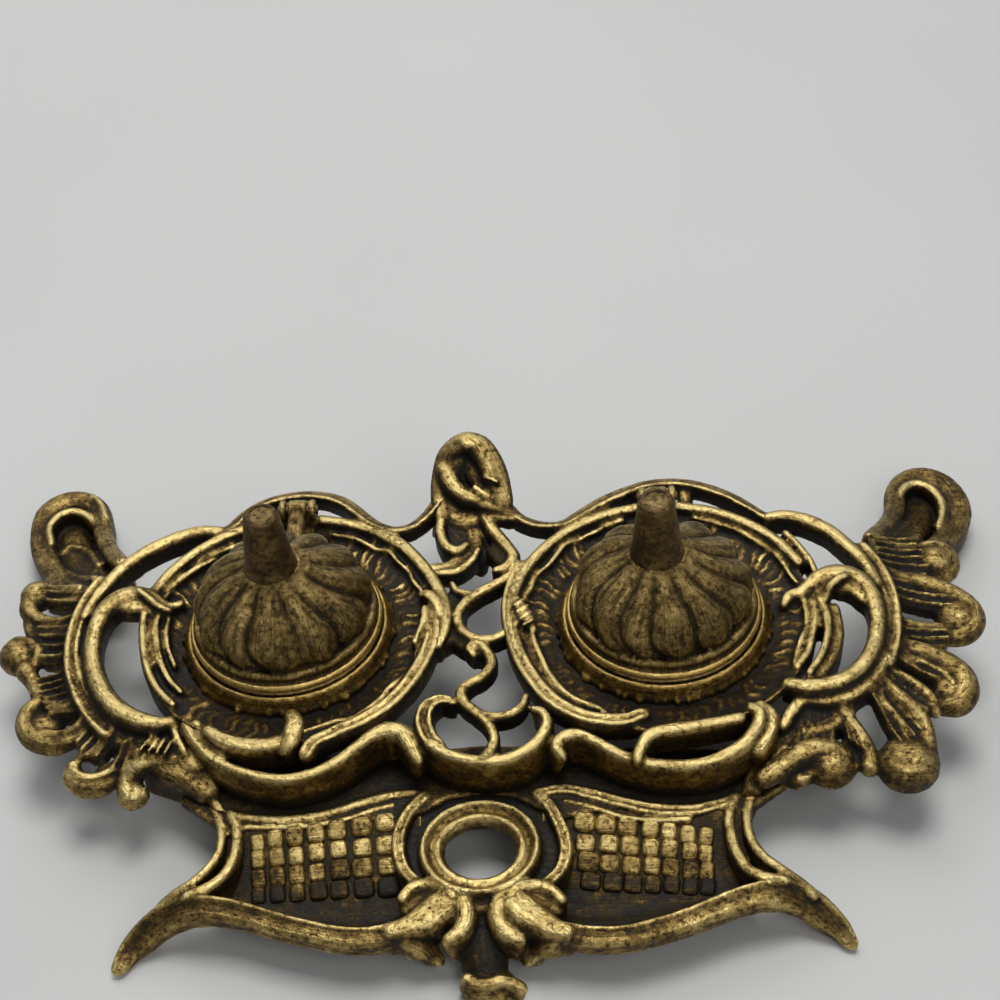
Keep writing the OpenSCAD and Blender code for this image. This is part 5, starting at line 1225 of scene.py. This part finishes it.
# corners of the squares: behind left, behind right, before left and before right
SQUARES = {-1: [(257, 841, 12), (385, 823, 12), (258, 894, 8.2), (388, 887, 8.2)],
           1: [(584, 822, 12), (706, 833, 12), (590, 881, 8.2), (708, 885, 8.2)]}
TAPER = 0.16
raised_squares = squares_tree()
for label, side in (("left", -1), ("right", 1)):
    piece = bpy.data.objects.new(f"tray_{label}_bowl", bowl(side))
    bpy.context.collection.objects.link(piece)
    dark = laid_out(piece, raised_squares, SQUARES[side], TAPER * side, 3 + side)
    age(piece, dark, near=8, fine_gain=1.0)
    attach(piece, "stand")
    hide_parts("pen_tray")

# ---------------------------------------------------------------- the collars and the pots
# Each well has a turned brass collar with a worn gold edge, and behind it a tongue with two ears and a
# stop for the lid. A pressed glass liner drops into the collar and hangs by its flange.

SEAT = 27.1
PIN_BACK, PIN_RISE = 33.0, 3.5
KNUCKLE_R = 2.4


def barrel(x, y, z, length, radius):
    """A short knuckle around the hinge line, with eased edges."""
    around, chamfer, ease = 24, 0.4, 0.3
    rows = [(-0.5, radius - chamfer, 0.0), (-0.5, radius, ease),
            (0.5, radius, ease), (0.5, radius - chamfer, 0.0)]
    verts = []
    for end, r, back in rows:
        for k in range(around):
            a = 2 * math.pi * k / around
            across = x + end * (length - 2 * back)
            verts.append(np.array([across, y + r * math.cos(a), z + r * math.sin(a)]))
    faces = []
    for j in range(len(rows) - 1):
        for k in range(around):
            a, b = j * around + k, j * around + (k + 1) % around
            faces.append((a, b, b + around, a + around))
    return verts, faces + [tuple(range(around)), tuple(range(4 * around - 1, 3 * around - 1, -1))]


def collar_parts(side):
    """Turned collar with a tongue behind it, two ears around the pin and a low stop."""
    x, y = WELLS[side]
    ring = turned([(18.35, 19.8), (19.5, 19.8), (19.5, 22.1), (23.0, 22.1), (22.6, 23.2), (21.6, 24.0),
                   (21.4, 26.85), (20.05, 26.85), (20.05, 24.8), (18.35, 24.8)], (x, y))
    tongue = sweep([[x, y + 24.5, 26.6, 6], [x, y + 27, 27.4, 7.6], [x, y + 33, 27.5, 7.6],
                    [x, y + 35, 27.4, 6.4]], "soft", 2.4)
    stop = sweep([[x - 3, y + 36.4, 29.6, 2.2], [x, y + 36.6, 30, 2.4], [x + 3, y + 36.4, 29.6, 2.2]],
                 "bead", 2.6)
    parts = [ring, tongue, stop]
    ear_off, ear_thick = 3.5, 1.6
    ear_plan = [(-ear_thick / 2, -2), (ear_thick / 2, -2), (ear_thick / 2, 2.6), (-ear_thick / 2, 2.6)]
    for way in (-1, 1):
        ear_x = x + way * ear_off
        parts.append(barrel(ear_x, y + PIN_BACK, SEAT + PIN_RISE, ear_thick, KNUCKLE_R))
        parts.append(slab([(ear_x + a, y + PIN_BACK + b) for a, b in ear_plan], 30.2, 3.2))
    return parts


collar_brass = old_brass("collar_brass", (0.56, 0.42, 0.17), (0.34, 0.23, 0.08), (0.14, 0.09, 0.03),
                         shine=0.32, pits=0.8)
for label, side in (("left", -1), ("right", 1)):
    parts = wear_and_shade(0.3, 0.6, collar_parts(side))
    piece, tone = cast(f"{label}_collar_cover", parts, f"{label}_collar", grain=0.36, lump=0.12)
    age(piece, tone)
    plated(piece, collar_brass)
    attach(piece, "stand")
    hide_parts(f"{label}_collar")

# the liners, faintly green and uneven
pot_glass = bpy.data.materials.new("pot_glass")
pot_glass.use_nodes = True
melt = pot_glass.node_tree
glass = melt.nodes["Principled BSDF"]
glass.inputs["Roughness"].default_value = 0.08
glass.inputs["Transmission Weight"].default_value = 0.9
cords = patches(melt, melt.nodes.new("ShaderNodeTexCoord").outputs["Object"], 90.0)
tint = ramp(melt, cords, [(0.3, (0.72, 0.8, 0.77)), (0.7, (0.8, 0.86, 0.84))])
melt.links.new(tint, glass.inputs["Base Color"])
for label in ("left", "right"):
    plated(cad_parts[f"{label}_ink_pot"], pot_glass)

# ---------------------------------------------------------------- the lids and their grips
# Each lid is cast brass with twelve swirling lobes over a moulded rim, left dull and brown. Its arm turns
# on a pin through the collar's ears. Its grip is a tapered casting on a rod, whose round end shows at the
# tip, with a nut inside the lid.

LID_R = 21.7
LOBES = 12


def lid_shape(side):
    """Outside and inside of a lid, as one closed skin."""
    rng = np.random.default_rng(60 + side)
    around, groove, swirl, top_z = 480, 2.1, 0.34, 18
    edges = np.cumsum(rng.uniform(0.75, 1.25, LOBES))
    edges = edges / edges[-1] * 2 * math.pi
    lean, knot = rng.uniform(-0.16, 0.16, LOBES), rng.uniform(0.3, 1.0, LOBES)
    # half sections, by radius and height over the seat: the moulded rim, the dome and the inside
    rim = [(19.6, 0.0), (LID_R - 1.0, 0.0), (LID_R - 0.2, 0.2), (LID_R, 0.8), (LID_R - 0.25, 1.4),
           (LID_R - 0.9, 2.0), (LID_R - 1.2, 2.7), (LID_R - 0.95, 3.4), (LID_R - 1.3, 4.1),
           (LID_R - 2.1, 4.3), (LID_R - 2.8, 3.9)]
    dome = [(18.7, 3.9), (19.4, 4.8), (19.9, 6.2), (19.9, 7.7), (19.5, 9.2), (18.5, 10.8), (17.0, 12.4),
            (15.0, 14.0), (12.6, 15.4), (10.2, 16.6), (8.4, 17.4), (7.2, 18.0), (5.5, 18.3)]
    hollow = [(0.02, 14.9), (5.6, 14.8), (8.4, 13.5), (12.0, 11.3), (14.9, 8.6), (16.3, 5.4), (16.9, 2.2),
              (17.6, 0.2)]
    skirt, cap, inner = smooth_path(rim, 4), smooth_path(dome, 6), smooth_path(hollow, 4)
    verts = []
    for r, z in skirt:
        for k in range(around):
            a = 2 * math.pi * k / around
            verts.append((r * math.cos(a), r * math.sin(a), z))
    for r, z in cap:
        # the lobes fade out at the rim and at the top
        share = min(1.0, max(0.0, (z - 3.7) / 0.9)) * min(1.0, max(0.0, (18.4 - z) / 2.2))
        foot = max(0.0, 1 - (z - 3.6) / 5.5)
        for k in range(around):
            a = 2 * math.pi * k / around
            turned_to = a + swirl * (z / top_z) ** 1.4 + 0.05 * math.sin(2.1 * a + 0.5 * z)
            turned_to %= 2 * math.pi
            n = int(np.searchsorted(edges, turned_to)) % LOBES
            start = edges[n - 1] if n else 0.0
            # f runs across a lobe; grooves lie at its edges and two fine folds on it
            f = (turned_to - start) / (edges[n] - start) + lean[n] * (1 - z / top_z)
            f = min(1.0, max(0.0, f))
            full = math.sin(math.pi * min(0.999, max(0.001, f))) ** 0.55
            folds = 0.5 * knot[n] * math.exp(-((f - 0.3) / 0.07) ** 2)
            folds += 0.4 * math.exp(-((f - 0.72) / 0.06) ** 2)
            cut = groove * (1 - full) + folds * (0.5 + 0.5 * math.sin(0.9 * z + 2 * n))
            cut -= 0.9 * knot[n] * foot * math.exp(-((f - 0.5) / 0.28) ** 2)
            rr = r - cut * share
            verts.append((rr * math.cos(a), rr * math.sin(a), z - 0.45 * max(0.0, cut) * share))
    outer_rows = len(skirt) + len(cap)
    for r, z in inner:
        for k in range(around):
            a = 2 * math.pi * k / around
            verts.append((r * math.cos(a), r * math.sin(a), z))
    rows = outer_rows + len(inner)
    faces = []
    for i in range(rows - 1):
        if i == outer_rows - 1:
            continue
        for k in range(around):
            a, b = i * around + k, i * around + (k + 1) % around
            faces.append((a, b, b + around, a + around))
    for k in range(around):
        a, b = k, (k + 1) % around
        c, d = (rows - 1) * around + k, (rows - 1) * around + (k + 1) % around
        faces.append((a, c, d, b))
    faces.append(tuple((outer_rows - 1) * around + k for k in range(around)))
    faces.append(tuple(outer_rows * around + k for k in range(around))[::-1])
    centre = np.array([*WELLS[side], SEAT])
    notes = [(math.hypot(v[0], v[1]) * 0.7 - v[2], 20 * abs(math.atan2(v[1], v[0])), 0.0) for v in verts]
    return [np.array(v) + centre for v in verts], faces, notes


def hinge_arm(side):
    """Arm from the lid's wall to the knuckle around the pin."""
    x, y = WELLS[side]
    arm = sweep([[x, y + 20.2, SEAT + 4.6, 4.4], [x, y + 26, SEAT + 4.9, 4.2], [x, y + 32, SEAT + 5.2, 4.2]],
                "soft", 3.4)
    return [arm, barrel(x, y + PIN_BACK, SEAT + PIN_RISE, 4.4, KNUCKLE_R)]


LID_ROOM = (0.6, 0.6, 0.3)
lid_brass = old_brass("lid_brass", (0.46, 0.33, 0.125), (0.25, 0.17, 0.06), (0.1, 0.066, 0.024),
                      shine=0.34, bias=0.03, pits=0.9)
for label, side in (("left", -1), ("right", 1)):
    parts = wear_and_shade(0.25, 0.35, [lid_shape(side), *hinge_arm(side)])
    piece, tone = cast(f"{label}_lid_cover", parts, f"{label}_lid", grain=0.36, lump=0.3, room=LID_ROOM)
    age(piece, tone, fine_gain=2.2)
    plated(piece, lid_brass)
    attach(piece, f"{label}_cover")
    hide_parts(f"{label}_lid")
    # the lid's lowest edge, a bead made bright in the redder brass: a painted highlight
    edge = turned([(20.6, 27.4), (21.3, 27.2), (21.75, 27.5), (21.9, 28.1), (21.65, 28.7), (21.0, 28.95),
                   (20.6, 28.6)], WELLS[side], 180)
    parts = wear_and_shade(-0.05, 0.2, [edge])
    piece, tone = cast(f"{label}_lid_edge", parts, f"{label}_lid", grain=0.3, lump=0.14, room=LID_ROOM)
    age(piece, tone)
    plated(piece, foot_brass)
    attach(piece, f"{label}_cover")
    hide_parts(f"{label}_lid")

finial_brass = old_brass("finial_brass", (0.30, 0.20, 0.085), (0.17, 0.11, 0.045), (0.08, 0.05, 0.024),
                         shine=0.42, pits=1.0, plain=0.3, streaks=0.0)
rod_brass = old_brass("rod_brass", (0.36, 0.25, 0.11), (0.22, 0.15, 0.065), (0.1, 0.065, 0.03),
                      shine=0.4, pits=0.8, plain=0.25, streaks=0.0)
for label in ("left", "right"):
    plated(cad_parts[f"{label}_finial"], finial_brass)
    for small in ("finial_rod", "finial_nut", "hinge_pin"):
        plated(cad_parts[f"{label}_{small}"], rod_brass)

# ---------------------------------------------------------------- table and light
# A pale table under a wide soft light from behind and above, with a weaker light from the front.

HALF_TABLE = 3.0
table_mesh = bpy.data.meshes.new("table")
table_corners = [(x * HALF_TABLE, y * HALF_TABLE, 0) for x, y in ((-1, -1), (1, -1), (1, 1), (-1, 1))]
table_mesh.from_pydata(table_corners, [], [(0, 1, 2, 3)])
table = bpy.data.objects.new("table", table_mesh)
bpy.context.collection.objects.link(table)
table_coat = bpy.data.materials.new("table")
table_coat.use_nodes = True
paint = table_coat.node_tree
coat = paint.nodes["Principled BSDF"]
coat.inputs["Roughness"].default_value = 0.5
coat.inputs["Specular IOR Level"].default_value = 0.2
mottle = patches(paint, paint.nodes.new("ShaderNodeTexCoord").outputs["Object"], 6.0)
pale = ramp(paint, mottle, [(0.3, (0.66, 0.665, 0.655)), (0.7, (0.69, 0.695, 0.685))])
paint.links.new(pale, coat.inputs["Base Color"])
table_mesh.materials.append(table_coat)

world = bpy.data.worlds.new("room")
bpy.context.scene.world = world
world.use_nodes = True
world.node_tree.nodes["Background"].inputs[0].default_value = (0.93, 0.96, 1.0, 1)
world.node_tree.nodes["Background"].inputs[1].default_value = 0.2

LAMPS = [("window", (-0.3, 0.75, 0.8), 0.8, 3.2), ("ceiling", (0.1, 0.2, 1.3), 0.6, 8.0),
         ("front", (0.5, -0.8, 0.9), 0.6, 2.4)]
aim = Vector((0, 0, 0.02))
for name, at, size, power in LAMPS:
    lamp = bpy.data.lights.new(name, "AREA")
    lamp.size = size
    lamp.energy = power
    lamp.color = (1.0, 0.99, 0.975)
    stand = bpy.data.objects.new(name, lamp)
    stand.location = at
    stand.rotation_euler = (aim - Vector(at)).to_track_quat("-Z", "Y").to_euler()
    bpy.context.collection.objects.link(stand)

bpy.context.scene.view_settings.view_transform = "Standard"
